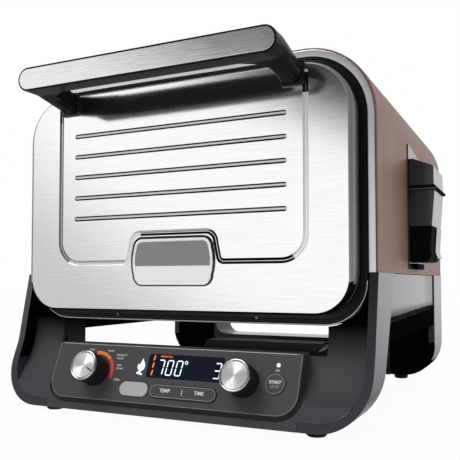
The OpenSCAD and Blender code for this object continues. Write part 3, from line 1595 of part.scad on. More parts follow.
module smoke_duct() {
  x1 = plate_x + smoke_wall;
  color([0.5, 0.5, 0.5]) difference() {
    rod_x(duct_in, x1, duct_y, duct_z, duct_d);
    rod_x(duct_in - over, x1 + over, duct_y, duct_z, duct_d - 2 * duct_wall);
  }
}
module lid_pin() {
  color([0.6, 0.6, 0.6])
    rod_y(axis_x, lid_y0 - ear_t - fit, lid_y1 + ear_t + fit, axis_z, lid_pin_d);
}
module smoke_lid() {
  low = smoke_rim + fit;
  in_x = axis_x + barrel_r;
  fall_z = smoke_high - lid_fall;
  color([0.13, 0.14, 0.16]) difference() {
    union() {
      rod_y(axis_x, lid_y0, lid_y1, axis_z, 2 * barrel_r);
      along_y(lid_y0, lid_y1) polygon([[plate_x + fit, low], [lid_out, low],
        [lid_out, low + lip_h / 2], [lid_body, low + lip_h], [lid_body - over, fall_z],
        [axis_x, smoke_high], [axis_x - barrel_r, axis_z]]);
    }
    along_y(lid_y0 + smoke_wall, lid_y1 - smoke_wall) polygon([[in_x, low - over],
      [lid_body - smoke_wall, low - over], [lid_body - over - smoke_wall, fall_z - smoke_wall],
      [in_x, smoke_high - barrel_r - smoke_wall]]);
    rod_y(axis_x, lid_y0 - over, lid_y1 + over, axis_z, lid_pin_d + 2 * run);
  }
}

// Moves the drawing so that the origin lies under the middle of the whole object
module seated() {
  translate([-(x_low + x_high) / 2, -(y_low + y_high) / 2, 0]) children();
}

seated() outer_shell();
seated() front_trim();
seated() door_surround();
seated() surround_bumpers();
seated() cavity_liner();
seated() insulation();
seated() bottom_pan();
seated() rear_panel();
seated() case_screws();
seated() cord_gland();
seated() upper_element();
seated() lower_element();
seated() temperature_probe();
seated() rack_rails();
seated() wire_rack();
seated() pizza_stone();
seated() fan_motor();
seated() fan_cover();
seated() fan_rotor();
seated() hinge_lugs();
seated() left_side_frame();
seated() right_side_frame();
seated() front_bezel();
seated() base_tray();
seated() electronics_cover();
seated() rear_crossbar();
seated() feet();
seated() control_fascia();
seated() display_window();
seated() display_module();
seated() control_board();
seated() mode_switch();
seated() set_encoder();
seated() power_lens();
seated() mode_knob();
seated() mode_cap();
seated() set_knob();
seated() set_cap();
seated() smoke_button();
seated() time_rocker();
seated() start_button();
seated() smoke_bracket();
seated() smoke_cup();
seated() smoke_housing();
seated() pellet_basket();
seated() igniter();
seated() smoke_duct();
seated() lid_pin();
seated() smoke_lid();
seated() door_skin();
seated() door_liner();
seated() door_insulation();
seated() door_gasket();
seated() hinge_pins();
seated() badge_plate();
seated() handle_grip();
seated() handle_strip();
seated() handle_collars();
seated() handle_screws();
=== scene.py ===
import json
import math

import bmesh
import bpy
from mathutils import Matrix, Vector
from mathutils.geometry import delaunay_2d_cdt

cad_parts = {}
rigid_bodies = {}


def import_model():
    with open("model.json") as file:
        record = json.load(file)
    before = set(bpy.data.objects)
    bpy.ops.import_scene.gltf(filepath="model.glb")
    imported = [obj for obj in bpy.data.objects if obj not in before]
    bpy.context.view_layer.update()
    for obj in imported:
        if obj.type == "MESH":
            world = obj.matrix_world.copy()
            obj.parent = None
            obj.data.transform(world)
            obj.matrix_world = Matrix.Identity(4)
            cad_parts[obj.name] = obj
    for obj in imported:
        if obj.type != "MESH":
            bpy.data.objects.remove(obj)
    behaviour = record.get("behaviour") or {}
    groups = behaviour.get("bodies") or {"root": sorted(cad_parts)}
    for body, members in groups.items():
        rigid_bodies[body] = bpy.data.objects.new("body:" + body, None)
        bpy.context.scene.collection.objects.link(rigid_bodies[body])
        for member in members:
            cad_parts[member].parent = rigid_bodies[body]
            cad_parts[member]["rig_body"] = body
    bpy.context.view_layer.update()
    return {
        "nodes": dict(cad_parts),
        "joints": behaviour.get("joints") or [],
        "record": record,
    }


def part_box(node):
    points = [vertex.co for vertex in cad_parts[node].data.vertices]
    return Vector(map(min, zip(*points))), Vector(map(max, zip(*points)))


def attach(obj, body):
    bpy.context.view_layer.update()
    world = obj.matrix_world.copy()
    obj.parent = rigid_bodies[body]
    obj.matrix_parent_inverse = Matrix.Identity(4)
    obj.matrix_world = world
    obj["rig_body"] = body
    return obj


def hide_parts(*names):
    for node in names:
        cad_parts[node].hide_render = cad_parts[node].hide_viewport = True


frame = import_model()
nodes = frame["nodes"]
slots = {p["node"]: p["material_slot"] for p in frame["record"]["subparts"]}

# Drafting frame: millimetres from the foot of the door face's middle line
MM = 0.001
shell_lo, shell_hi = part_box("outer_shell")
MID_X = (shell_lo.x + shell_hi.x) / 2
FACE_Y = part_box("door_skin")[0].y


def at(x, y, z):
    return Vector((MID_X + x * MM, FACE_Y + y * MM, z * MM))


def span(node):
    """Box of a CAD node in the drafting frame."""
    lo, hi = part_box(node)
    return (Vector((lo.x - MID_X, lo.y - FACE_Y, lo.z)) / MM,
            Vector((hi.x - MID_X, hi.y - FACE_Y, hi.z)) / MM)


# Panel frame: x across, s up the slope from the panel's top edge, h out of its face
dial_joint = next(j for j in frame["joints"] if j["name"] == "mode_turn")
PANEL_OUT = Vector(dial_joint["axis"]).normalized()
PANEL_UP = PANEL_OUT.cross(Vector((1, 0, 0)))
PANEL_TOP = span("control_fascia")[1].z


def on_panel(x, s, h):
    return at(x, 0, PANEL_TOP) + (PANEL_UP * s + PANEL_OUT * h) * MM


def panel_place(x, s, h=0.0):
    """Matrix that sets a flat drawing, in millimetres, on the panel."""
    turn = Matrix((Vector((1, 0, 0)), PANEL_UP, PANEL_OUT)).transposed().to_4x4()
    return Matrix.Translation(on_panel(x, s, h)) @ turn @ Matrix.Scale(MM, 4)


# Outlines, as lists of points in a plane
ARC_STEPS = 20
CIRCLE_STEPS = 72
CAP_STEPS = 10


def arc(cx, cz, r, a0, a1, steps=ARC_STEPS):
    turn = [math.radians(a0 + (a1 - a0) * i / steps) for i in range(steps + 1)]
    return [(cx + r * math.cos(a), cz + r * math.sin(a)) for a in turn]


def arch(hw, z0, z1, r_top, r_low):
    """Rectangle on the middle line, with one radius above and one below."""
    return (arc(hw - r_top, z1 - r_top, r_top, 0, 90)
            + arc(-hw + r_top, z1 - r_top, r_top, 90, 180)
            + arc(-hw + r_low, z0 + r_low, r_low, 180, 270)
            + arc(hw - r_low, z0 + r_low, r_low, 270, 360))


def rounded(w, h, r, cx=0.0, cz=0.0):
    return [(x + cx, z + cz) for x, z in arch(w / 2, -h / 2, h / 2, r, r)]


def circle(cx, cz, r, steps=CIRCLE_STEPS):
    return arc(cx, cz, r, 0, 360 - 360 / steps, steps - 1)


def quarter(r):
    """Quarter round of radius r, as pairs of inset and fall."""
    turn = [math.radians(9 * k) for k in range(11)]
    return [(r * (1 - math.cos(a)), r * (1 - math.sin(a))) for a in turn]


def band(path, half):
    """Closed outline at a distance of half around an open path, with round ends."""
    left, right = [], []
    last = len(path) - 1
    for i, (x, z) in enumerate(path):
        a, b = path[max(i - 1, 0)], path[min(i + 1, last)]
        d = math.hypot(b[0] - a[0], b[1] - a[1])
        nx, nz = -(b[1] - a[1]) / d, (b[0] - a[0]) / d
        left.append((x + nx * half, z + nz * half))
        right.append((x - nx * half, z - nz * half))

    def cap(centre, start):
        a0 = math.degrees(math.atan2(start[1] - centre[1], start[0] - centre[0]))
        return arc(centre[0], centre[1], half, a0, a0 - 180, CAP_STEPS)[1:-1]

    return left + cap(path[-1], left[-1]) + right[::-1] + cap(path[0], right[0])


# Meshes
SHARP = 32  # degrees; a steeper edge stays sharp
WELD = 1e-7
CAD_WELD = 1e-6
CAD_FLAT = 0.6  # degrees; flatter edges of a solid are dissolved
BEVEL_STEPS = 3


def loft(rings, ring_closed=True, loft_closed=False, cap_first=False, cap_last=False):
    """Skin over rings of points, as vertices and faces."""
    n = len(rings[0])
    verts = [p for ring in rings for p in ring]
    faces = []
    rows = len(rings) if loft_closed else len(rings) - 1
    for i in range(rows):
        a, b = i * n, (i + 1) % len(rings) * n
        for k in range(n if ring_closed else n - 1):
            m = (k + 1) % n
            faces.append((a + k, a + m, b + m, b + k))
    if cap_first:
        faces.append(tuple(range(n - 1, -1, -1)))
    if cap_last:
        faces.append(tuple(range((len(rings) - 1) * n, len(rings) * n)))
    if loft_closed and not ring_closed:
        faces.append(tuple(i * n for i in range(len(rings))))
        faces.append(tuple(i * n + n - 1 for i in reversed(range(len(rings)))))
    return verts, faces


def join(*parts):
    verts, faces = [], []
    for v, f in parts:
        base = len(verts)
        verts += v
        faces += [tuple(i + base for i in face) for face in f]
    return verts, faces


def piece(name, shape, body, slot, material, stands_for=(), sharp=SHARP, paint=None, place=None):
    """New mesh piece that rides on a body. paint gives a face's material number from its middle."""
    mesh = bpy.data.meshes.new(name)
    mesh.from_pydata([tuple(v) for v in shape[0]], [], shape[1])
    bm = bmesh.new()
    bm.from_mesh(mesh)
    bmesh.ops.remove_doubles(bm, verts=bm.verts, dist=WELD)
    bmesh.ops.recalc_face_normals(bm, faces=bm.faces)
    bm.to_mesh(mesh)
    bm.free()
    return settle(name, mesh, body, slot, material, stands_for, sharp, paint, place=place)


def settle(name, mesh, body, slot, material, stands_for, sharp, paint, bevel=0.0, place=None):
    """Object of a mesh, with its materials and edges set, on its body."""
    obj = bpy.data.objects.new(name, mesh)
    bpy.context.scene.collection.objects.link(obj)
    if place:
        obj.matrix_world = place
    for m in material if isinstance(material, (list, tuple)) else [material]:
        mesh.materials.append(m)
    for poly in mesh.polygons:
        poly.use_smooth = True
        if paint:
            poly.material_index = paint(poly.center)
    mesh.set_sharp_from_angle(angle=math.radians(sharp))
    if bevel:
        mod = obj.modifiers.new("edges", "BEVEL")
        mod.width = bevel * MM
        mod.segments = BEVEL_STEPS
        mod.limit_method = "ANGLE"
        mod.angle_limit = math.radians(sharp)
        mod.use_clamp_overlap = True
    normals = obj.modifiers.new("normals", "WEIGHTED_NORMAL")
    normals.keep_sharp = True
    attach(obj, body)
    if stands_for:
        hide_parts(*stands_for)
    return obj


def softened(node, bevel, material=None, paint=None):
    """Copy of a CAD node with its edges rounded, in place of the node."""
    bm = bmesh.new()
    bm.from_mesh(nodes[node].data)
    bmesh.ops.remove_doubles(bm, verts=bm.verts, dist=CAD_WELD)
    bmesh.ops.dissolve_limit(bm, angle_limit=math.radians(CAD_FLAT), verts=bm.verts, edges=bm.edges)
    name = node + "_soft"
    mesh = bpy.data.meshes.new(name)
    bm.to_mesh(mesh)
    bm.free()
    body = nodes[node]["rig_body"]
    slot = slots[node]
    return settle(name, mesh, body, slot, material or looks[slot], (node,), SHARP, paint, bevel)


# Materials
RELIEF = 0.0004  # height of the relief at full strength, in metres
PATCH = 25.0  # scale of the noise that varies the gloss
RANGE_ENDS = ("From Min", "From Max", "To Min", "To Max")


def srgb(r, g, b):
    def linear(v):
        v /= 255
        return v / 12.92 if v <= 0.04045 else ((v + 0.055) / 1.055) ** 2.4

    return (linear(r), linear(g), linear(b), 1.0)


def shade(colour, k):
    return tuple(min(c * k, 1.0) for c in colour[:3]) + (1.0,)


def mapped(tree, value, *ends):
    """Value taken from one range to another."""
    node = tree.nodes.new("ShaderNodeMapRange")
    for socket, end in zip(RANGE_ENDS, ends):
        node.inputs[socket].default_value = end
    tree.links.new(value, node.inputs["Value"])
    return node.outputs["Result"]


def combined(tree, operation, values):
    """Values taken together by one operation, such as a product or the highest of them."""
    total = values[0]
    for value in values[1:]:
        both = tree.nodes.new("ShaderNodeMath")
        both.operation = operation
        tree.links.new(total, both.inputs[0])
        tree.links.new(value, both.inputs[1])
        total = both.outputs[0]
    return total


def finish(name, colour, rough, metal=0.0, grain=400.0, stretch=(1, 1, 1), vary=0.1, rough_vary=0.06,
           bump=0.04, coat=0.0, coat_rough=0.1, glow=None, spec=0.5, aniso=0.0, fade=None, painted_light_by_height=None):
    """Surface whose colour, gloss and texture vary with noise, stretched along a grain where asked.

    fade is (z0, z1, k0, k1): the roughness times k0 at height z0, going to k1 at z1.
    The last argument paints light and shade by height: it is (z0, z1, gloss, colour), and both are full at
    height z0 and go to these shares at z1.
    """
    mat = bpy.data.materials.new(name)
    mat.use_nodes = True
    tree = mat.node_tree
    shader = tree.nodes["Principled BSDF"]
    new, link = tree.nodes.new, tree.links.new
    where = new("ShaderNodeTexCoord")
    scaled = new("ShaderNodeMapping")
    scaled.inputs["Scale"].default_value = stretch
    link(where.outputs["Object"], scaled.inputs["Vector"])
    fine = new("ShaderNodeTexNoise")
    fine.inputs["Scale"].default_value = grain
    fine.inputs["Detail"].default_value = 4
    link(scaled.outputs["Vector"], fine.inputs["Vector"])
    broad = new("ShaderNodeTexNoise")
    broad.inputs["Scale"].default_value = PATCH
    link(where.outputs["Object"], broad.inputs["Vector"])
    ramp = new("ShaderNodeValToRGB")
    ramp.color_ramp.elements[0].position = 0.3
    ramp.color_ramp.elements[1].position = 0.7
    ramp.color_ramp.elements[0].color = shade(colour, 1 - vary)
    ramp.color_ramp.elements[1].color = shade(colour, 1 + vary)
    link(fine.outputs["Fac"], ramp.inputs["Fac"])
    link(ramp.outputs["Color"], shader.inputs["Base Color"])
    low, high = max(rough - rough_vary, 0.02), min(rough + rough_vary, 1.0)
    gloss = mapped(tree, broad.outputs["Fac"], 0.0, 1.0, low, high)
    if fade or painted_light_by_height:
        parts = new("ShaderNodeSeparateXYZ")
        link(where.outputs["Object"], parts.inputs["Vector"])
        height = parts.outputs["Z"]
    if fade:
        gloss = combined(tree, "MULTIPLY", [mapped(tree, height, *fade), gloss])
    link(gloss, shader.inputs["Roughness"])
    # Painted light and shade: colour and reflection scaled by height
    if painted_light_by_height:
        z0, z1, least_gloss, least_colour = painted_light_by_height
        tone = new("ShaderNodeVectorMath")
        tone.operation = "SCALE"
        link(ramp.outputs["Color"], tone.inputs[0])
        link(mapped(tree, height, z0, z1, 1.0, least_colour), tone.inputs["Scale"])
        link(tone.outputs["Vector"], shader.inputs["Base Color"])
        level = mapped(tree, height, z0, z1, spec, spec * least_gloss)
        link(level, shader.inputs["Specular IOR Level"])
    if bump:
        relief = new("ShaderNodeBump")
        relief.inputs["Strength"].default_value = bump
        relief.inputs["Distance"].default_value = RELIEF
        link(fine.outputs["Fac"], relief.inputs["Height"])
        link(relief.outputs["Normal"], shader.inputs["Normal"])
    shader.inputs["Metallic"].default_value = metal
    shader.inputs["Specular IOR Level"].default_value = spec
    shader.inputs["Coat Weight"].default_value = coat
    shader.inputs["Coat Roughness"].default_value = coat_rough
    if aniso:
        shader.inputs["Anisotropic"].default_value = aniso
        around = new("ShaderNodeTangent")
        around.direction_type = "RADIAL"
        around.axis = "Z"
        link(around.outputs["Tangent"], shader.inputs["Tangent"])
    if glow:
        link(ramp.outputs["Color"], shader.inputs["Emission Color"])
        shader.inputs["Emission Strength"].default_value = glow
    return mat


ALONG_X = (0.03, 1, 1)
looks = {
    "terracotta_paint": finish("terracotta_paint", srgb(130, 93, 80), 0.46, grain=900, bump=0.12,
                               vary=0.05, spec=0.45),
    "brushed_steel": finish("brushed_steel", srgb(253, 252, 251), 0.106, 1.0, 900, ALONG_X, 0.06,
                            0.006, 0.012),
    "black_enamel": finish("black_enamel", srgb(14, 14, 15), 0.3, grain=1200, bump=0.04, spec=0.3),
    "cavity_enamel": finish("cavity_enamel", srgb(88, 88, 90), 0.3, grain=1600, vary=0.25, bump=0.05),
    "fibre_blanket": finish("fibre_blanket", srgb(230, 226, 214), 0.95, grain=300, vary=0.15, bump=0.6),
    "dark_steel": finish("dark_steel", srgb(120, 120, 122), 0.35, 1.0, 900, vary=0.15),
    "bright_metal": finish("bright_metal", srgb(230, 230, 230), 0.12, 1.0, 700, vary=0.04),
    "aluminium": finish("aluminium", srgb(222, 221, 221), 0.3, 0.6, 1800, vary=0.06, aniso=0.7),
    "black_plastic": finish("black_plastic", srgb(46, 45, 49), 0.4, grain=1500, bump=0.08, spec=0.4),
    "gloss_black": finish("gloss_black", srgb(9, 9, 10), 0.14, grain=600, bump=0.02, spec=0.35),
    "panel_black": finish("panel_black", srgb(70, 69, 73), 0.5, grain=1800, bump=0.06, spec=0.25),
    "slate_grey": finish("slate_grey", srgb(42, 44, 52), 0.2, grain=900, bump=0.02, coat=0.35,
                         coat_rough=0.08),
    "silver_plastic": finish("silver_plastic", srgb(196, 196, 199), 0.3, 0.35, 1200, vary=0.05),
    "display_glass": finish("display_glass", srgb(24, 28, 42), 0.12, grain=300, coat=0.2, bump=0.0),
    "clear_lens": finish("clear_lens", srgb(235, 240, 245), 0.12, grain=500, vary=0.03, glow=0.5),
    "circuit_board": finish("circuit_board", srgb(24, 92, 58), 0.4, grain=250, vary=0.3),
    "black_rubber": finish("black_rubber", srgb(26, 26, 27), 0.75, grain=1100, bump=0.2, spec=0.3),
    "pizza_stone": finish("pizza_stone", srgb(203, 185, 158), 0.9, grain=260, vary=0.2, bump=0.4),
    "ceramic": finish("ceramic", srgb(229, 226, 217), 0.7, grain=500, vary=0.08, bump=0.15),
}
# Painted light and shade on the legs: their reflection fades out and their colour grows lighter towards the
# floor
leg_gloss = finish("leg_gloss", srgb(43, 42, 47), 0.16, grain=1500, bump=0.0, spec=0.7, rough_vary=0.03,
                   painted_light_by_height=(0.14, 0.04, 0.02, 2.2))
web_gloss = finish("web_gloss", srgb(15, 15, 17), 0.1, grain=1500, bump=0.0, spec=1.0, rough_vary=0.01,
                   fade=(0.104, 0.123, 8.5, 0.6))
# Painted shade: near-black, almost unreflecting finishes for the shaded lower webs and the insides of the
# legs
web_dim = finish("web_dim", srgb(11, 11, 12), 0.75, grain=1500, bump=0.0, spec=0.02)
web_dark = finish("web_dark", srgb(10, 10, 11), 0.85, grain=1500, bump=0.02, spec=0.0)
smoke_black = finish("smoke_black", srgb(16, 15, 16), 0.8, grain=1100, bump=0.06, spec=0.04)
cover_black = finish("cover_black", srgb(10, 10, 11), 0.4, grain=1100, bump=0.03, spec=0.2)
# Painted reflection: a pale slate top on the black electronics cover, for the bright backdrop it mirrors
cover_top = finish("cover_top", srgb(128, 133, 156), 0.35, grain=1100, bump=0.03, spec=0.4)
print_white = finish("print_white", srgb(236, 236, 236), 0.5, grain=900, vary=0.03, bump=0.0)
print_grey = finish("print_grey", srgb(150, 150, 152), 0.5, grain=900, vary=0.04, bump=0.0)
print_orange = finish("print_orange", srgb(244, 132, 40), 0.5, grain=900, vary=0.05, bump=0.0)
print_red = finish("print_red", srgb(232, 56, 40), 0.5, grain=900, vary=0.05, bump=0.0)
lit_white = finish("lit_white", srgb(214, 236, 244), 0.4, grain=700, vary=0.03, bump=0.0, glow=0.9)
lit_orange = finish("lit_orange", srgb(240, 106, 48), 0.4, grain=700, vary=0.04, bump=0.0, glow=0.9)
# Painted light on the door's steel: highlights, grey reflections and shade in bands on the pressed lines,
# and a dull grey painted shade on the rolled edge
groove_pale = finish("groove_pale", srgb(226, 226, 228), 0.3, 1.0, 1200, ALONG_X, 0.06)
groove_grey = finish("groove_grey", srgb(116, 119, 127), 0.35, 0.5, 1200, vary=0.08)
groove_light = finish("groove_light", srgb(234, 234, 235), 0.35, 0.2, 1200, vary=0.04)
edge_steel = finish("edge_steel", srgb(150, 150, 153), 0.38, 0.5, 1300, vary=0.06)
groove_dark = finish("groove_dark", srgb(9, 9, 10), 0.5, grain=900, vary=0.1, spec=0.06)
trim_steel = finish("trim_steel", srgb(222, 223, 226), 0.3, 1.0, 1400, ALONG_X, 0.05, 0.03, 0.012)
# Painted shade under the door: colour and reflection fade almost to black towards the top of the bezel
bezel_black = finish("bezel_black", srgb(70, 69, 73), 0.5, grain=1500, bump=0.06, spec=0.14,
                     painted_light_by_height=(0.074, 0.106, 0.02, 0.02))
bumper_grey = finish("bumper_grey", srgb(96, 96, 98), 0.3, 0.7, 900, vary=0.08)

for node in nodes.values():
    for place in node.material_slots:
        place.material = looks[slots[node.name]]
nodes["surround_bumpers"].material_slots[0].material = bumper_grey

# Casing: shell and steel trim follow one arch that is open below
case_lo, case_hi = span("outer_shell")
trim_lo, trim_hi = span("front_trim")
half_w, shell_z0, shell_top, shell_y1 = case_hi.x, case_lo.z, case_hi.z, case_hi.y
trim_y0, trim_y1 = trim_lo.y, trim_hi.y
TOP_R, TRIM_W, SHELL_WALL, SHELL_LIP = 74.0, 9.5, 1.2, 1.7


def casing_ring(inset, y):
    r = TOP_R - inset
    hw = half_w - inset
    path = [(hw, shell_z0)] + arc(hw - r, shell_top - inset - r, r, 0, 90)
    path += arc(-hw + r, shell_top - inset - r, r, 90, 180) + [(-hw, shell_z0)]
    return [at(x, y, z) for x, z in path]


def casing(name, profile, node, material):
    shape = loft([casing_ring(i, y) for i, y in profile], ring_closed=False, loft_closed=True)
    piece(name, shape, "casing", slots[node], material, (node,))


# Sections as (inset, y): a rolled front lip and a rounded rear edge on the shell, folded edges on the trim
shell_section = [(SHELL_LIP, trim_y0 + 2), (SHELL_LIP, trim_y0 + 0.7), (1.2, trim_y0 + 0.3),
                 (0.6, trim_y0 + 0.4), (0.15, trim_y0 + 0.9), (0, trim_y0 + 1.8),
                 (0, shell_y1 - 1), (0.3, shell_y1 - 0.3), (0.8, shell_y1),
                 (SHELL_WALL, shell_y1 - 0.4), (SHELL_WALL, trim_y1 + 1)]
trim_section = [(TRIM_W, trim_y1), (TRIM_W, trim_y0 + 1), (TRIM_W - 0.3, trim_y0 + 0.3),
                (TRIM_W - 1, trim_y0), (SHELL_LIP + 1, trim_y0), (SHELL_LIP + 0.4, trim_y0 + 0.2),
                (SHELL_LIP + 0.15, trim_y0 + 0.7), (SHELL_LIP + 0.15, trim_y1)]
casing("shell_panel", shell_section, "outer_shell", looks["terracotta_paint"])
casing("trim_ring", trim_section, "front_trim", trim_steel)

# Door: steel skin with pressed lines
door_lo, door_hi = span("door_skin")
DOOR_TOP_R, DOOR_LOW_R, DOOR_EDGE, SKIN_FOLD, DOOR_TIGHT = 52.0, 40.0, 5.0, 3.2, 0.5
FACE_TOL, EDGE_TOL, EDGE_DARK = 0.01, 0.05, 0.8


def door_loop(inset):
    return arch(door_hi.x - inset, door_lo.z + inset * DOOR_TIGHT, door_hi.z - inset * DOOR_TIGHT,
                DOOR_TOP_R - inset, DOOR_LOW_R - inset)


def on_face(loop, y):
    return [at(x, y, z) for x, z in loop]


GROOVES, GROOVE_TOP, GROOVE_PITCH, GROOVE_LEN = 5, 48.8, 24.0, 262.0
GROOVE_HALF, GROOVE_DEEP, GROOVE_STEPS, PALE_LOW, PALE_HIGH = 2.7, 1.0, 40, -0.36, 0.5
BORDER_HW, BORDER_UP, BORDER_R, BORDER_HALF, BORDER_DEEP = 150.8, 54.0, 26.0, 3.0, 0.9
RUN_STEPS, SIDE_STEPS, FOOT_STEPS = 12, 16, 8
SHADE_TOP, SHADE_LOW, LINE_TOP, LIT_SHARE, CORNER_SHARE = 11.0, 30.0, 0.9, 0.72, 0.5
badge_lo, badge_hi = span("badge_plate")
BADGE_GAP, BADGE_R, SHOULDER_IN, TOP_SHARE, FOOT_R, FOOT_RUN = 4.0, 12.0, 3.0, 0.6, 6.0, 4.0
groove_heights = [door_hi.z - GROOVE_TOP - i * GROOVE_PITCH for i in range(GROOVES)]


def groove_path(z):
    reach = GROOVE_LEN / 2 - GROOVE_HALF
    return [(-reach + 2 * reach * k / GROOVE_STEPS, z) for k in range(GROOVE_STEPS + 1)]


def border_path():
    """Border line from the left side, down and over the plate on the door, to the right side."""
    top = badge_hi.z + BADGE_GAP
    side = badge_hi.x + BADGE_GAP
    low = door_lo.z + BORDER_UP
    high = door_hi.z - DOOR_EDGE - 2 * BORDER_HALF
    start, end = side + FOOT_R + FOOT_RUN, BORDER_HW - BORDER_R
    rise = low + BORDER_R
    half = [(side * k / RUN_STEPS * TOP_SHARE, top) for k in range(RUN_STEPS + 1)]
    half += arc(side - SHOULDER_IN - BADGE_R, top - BADGE_R, BADGE_R, 90, 0, RUN_STEPS)
    half += arc(side + FOOT_R, low + FOOT_R, FOOT_R, 180, 270, FOOT_STEPS)
    half += [(start + (end - start) * k / RUN_STEPS, low) for k in range(RUN_STEPS)]
    half += arc(end, rise, BORDER_R, 270, 360, RUN_STEPS)
    half += [(BORDER_HW, rise + (high - rise) * k / SIDE_STEPS) for k in range(1, SIDE_STEPS + 1)]
    return [(-x, z) for x, z in reversed(half[1:])] + half


# Section of a pressed line: share of the way in from its rim, and share of its full depth
DEPTH = [(0.0, 0.0), (0.08, 0.05), (0.25, 0.4), (0.45, 0.8), (0.7, 0.97), (0.92, 1.0)]


def pressed(path, half, deep):
    """Rings of a pressed line from its rim down to its floor."""
    return [on_face(band(path, half * (1 - t)), deep * d) for t, d in DEPTH]


def inside(p, loop):
    """Whether a point lies within a closed outline."""
    hit = False
    for i in range(len(loop)):
        (x0, z0), (x1, z1) = loop[i - 1], loop[i]
        if (z0 > p[1]) != (z1 > p[1]) and p[0] < x0 + (p[1] - z0) / (z1 - z0) * (x1 - x0):
            hit = not hit
    return hit


def flat_face(loop, holes, y):
    """Flat face within an outline, with holes."""
    points, edges = [], []
    for ring in [loop, *holes]:
        base = len(points)
        points += ring
        edges += [(base + i, base + (i + 1) % len(ring)) for i in range(len(ring))]
    result = delaunay_2d_cdt([Vector(p) for p in points], edges, [], 1, 1e-5)
    verts, faces = result[0], result[2]
    kept = []
    for f in faces:
        middle = sum((verts[i] for i in f), Vector((0, 0))) / len(f)
        if not any(inside(middle, h) for h in holes):
            kept.append(tuple(f))
    return [at(v.x, y, v.y) for v in verts], kept


# Door material numbers: steel, then painted highlight, painted shade, painted highlight, painted grey
# reflection, and painted shade on the rolled edge
STEEL, PALE, DARK, LIGHT, GREY, EDGE = range(6)


def border_tone(x, z):
    """Material number along the border: a painted dark reflection by the handle's arms, and painted
    highlights, lighter towards the corners.
    """
    below = door_hi.z - z
    if x > BORDER_HW - BORDER_R * CORNER_SHARE:
        return DARK if SHADE_TOP < below < SHADE_LOW else LIGHT
    if x < -BORDER_HW + BORDER_R * CORNER_SHARE:
        return DARK if below < SHADE_LOW else GREY
    if z > badge_hi.z + BADGE_GAP + LINE_TOP:
        return STEEL
    if x < -badge_hi.x * LIT_SHARE:
        return LIGHT if x > -badge_hi.x - BADGE_GAP - FOOT_R else PALE
    return DARK


def door_skin():
    lines = [(groove_path(z), GROOVE_HALF, GROOVE_DEEP) for z in groove_heights]
    lines.append((border_path(), BORDER_HALF, BORDER_DEEP))
    edge = [(SKIN_FOLD / DOOR_TIGHT, door_hi.y), (0.5, door_hi.y), (0.1, door_hi.y - 0.3),
            (0, door_hi.y - 0.8)]
    edge += quarter(DOOR_EDGE)
    rim = loft([on_face(door_loop(i), y) for i, y in edge])
    face = flat_face(door_loop(DOOR_EDGE), [band(p, h) for p, h, _ in lines], 0)
    rolled = [loft(pressed(*line), cap_last=True) for line in lines]

    # Painted light: each pressed line gets a pale painted highlight band with painted shade above and below
    # it, the border painted highlights and the dark reflection of the handle's arms, and the rolled edge
    # painted grey above painted shade at its foot
    def paint(c):
        x, depth, z = (c.x - MID_X) / MM, (c.y - FACE_Y) / MM, c.z / MM
        if depth < FACE_TOL:
            return STEEL
        if not inside((x, z), door_loop(DOOR_EDGE - EDGE_TOL)):
            return EDGE if z > door_lo.z + DOOR_LOW_R * EDGE_DARK else DARK
        off = z - min(groove_heights, key=lambda level: abs(level - z))
        if abs(off) < GROOVE_HALF and abs(x) < GROOVE_LEN / 2:
            return PALE if GROOVE_HALF * PALE_LOW < off < GROOVE_HALF * PALE_HIGH else DARK
        return border_tone(x, z)

    piece("door_face", join(rim, face, *rolled), "door", "brushed_steel",
          [looks["brushed_steel"], groove_pale, groove_dark, groove_light, groove_grey, edge_steel],
          ("door_skin",), paint=paint)


door_skin()

# Plate on the door: dark rim, pale ring, grey field above a pale one
BADGE_BOW, FIELD_DROP, FIELD_IN, FIELD_GAP, RING_DROP, RIM_IN = 2.2, 5.3, 5.2, 0.25, 0.6, 1.95
badge_mid = (badge_lo.z + badge_hi.z) / 2
badge_white = finish("badge_white", srgb(250, 250, 251), 0.3, grain=900, vary=0.03, bump=0.02)
badge_grey = finish("badge_grey", srgb(136, 136, 139), 0.35, grain=900, vary=0.05, bump=0.02)


def badge_loop(grow, drop):
    """Outline of the plate, with sides that bow out."""
    r = BADGE_R + grow
    cx = badge_hi.x - BADGE_BOW - BADGE_R
    cz = (badge_hi.z - badge_lo.z) / 2 - BADGE_R
    levels = [cz * (1 - k / 8) for k in range(1, 16)]
    side = [(badge_hi.x + grow - BADGE_BOW * (z / cz) ** 2, z) for z in levels]
    right = arc(cx, cz, r, 90, 0, RUN_STEPS) + side + arc(cx, -cz, r, 0, -90, RUN_STEPS)
    return [(x, z + badge_mid - drop) for x, z in right + [(-x, z) for x, z in reversed(right)]]


def badge():
    deep = badge_lo.y
    rim = [(0, -0.05), (0, deep * 0.7), (-0.3, deep * 0.93), (-0.9, deep), (-1.5, deep * 0.93),
           (-1.9, deep * 0.6)]
    ring = [(-2.0, deep * 0.6), (-2.3, deep * 0.78), (-4.2, deep * 0.8), (-4.5, deep * 0.62)]
    field = [(-FIELD_IN, deep * 0.55), (-FIELD_IN, deep * 0.72), (-5.6, deep * 0.8), (-7, deep * 0.82)]
    rings = [on_face(badge_loop(g, -0.3 * g), y) for g, y in rim]
    rings += [on_face(badge_loop(g, RING_DROP), y) for g, y in ring]

    def paint(c):
        return int(inside((abs(c.x - MID_X) / MM, c.z / MM), badge_loop(-RIM_IN, RING_DROP)))

    piece("badge_frame", loft(rings, cap_last=True), "door", "silver_plastic",
          [looks["gloss_black"], badge_white], ("badge_plate",), paint=paint)
    split = badge_mid - FIELD_DROP
    for name, sign, material in (("badge_upper", 1, badge_grey), ("badge_lower", -1, badge_white)):
        rings = []
        for grow, y in field:
            gap = FIELD_GAP - (grow + FIELD_IN) * 0.5
            rings.append(on_face([(x, sign * max(sign * (z - split), gap) + split)
                                  for x, z in badge_loop(grow, RING_DROP)], y))
        piece(name, loft(rings, cap_last=True), "door", "silver_plastic", material)


badge()

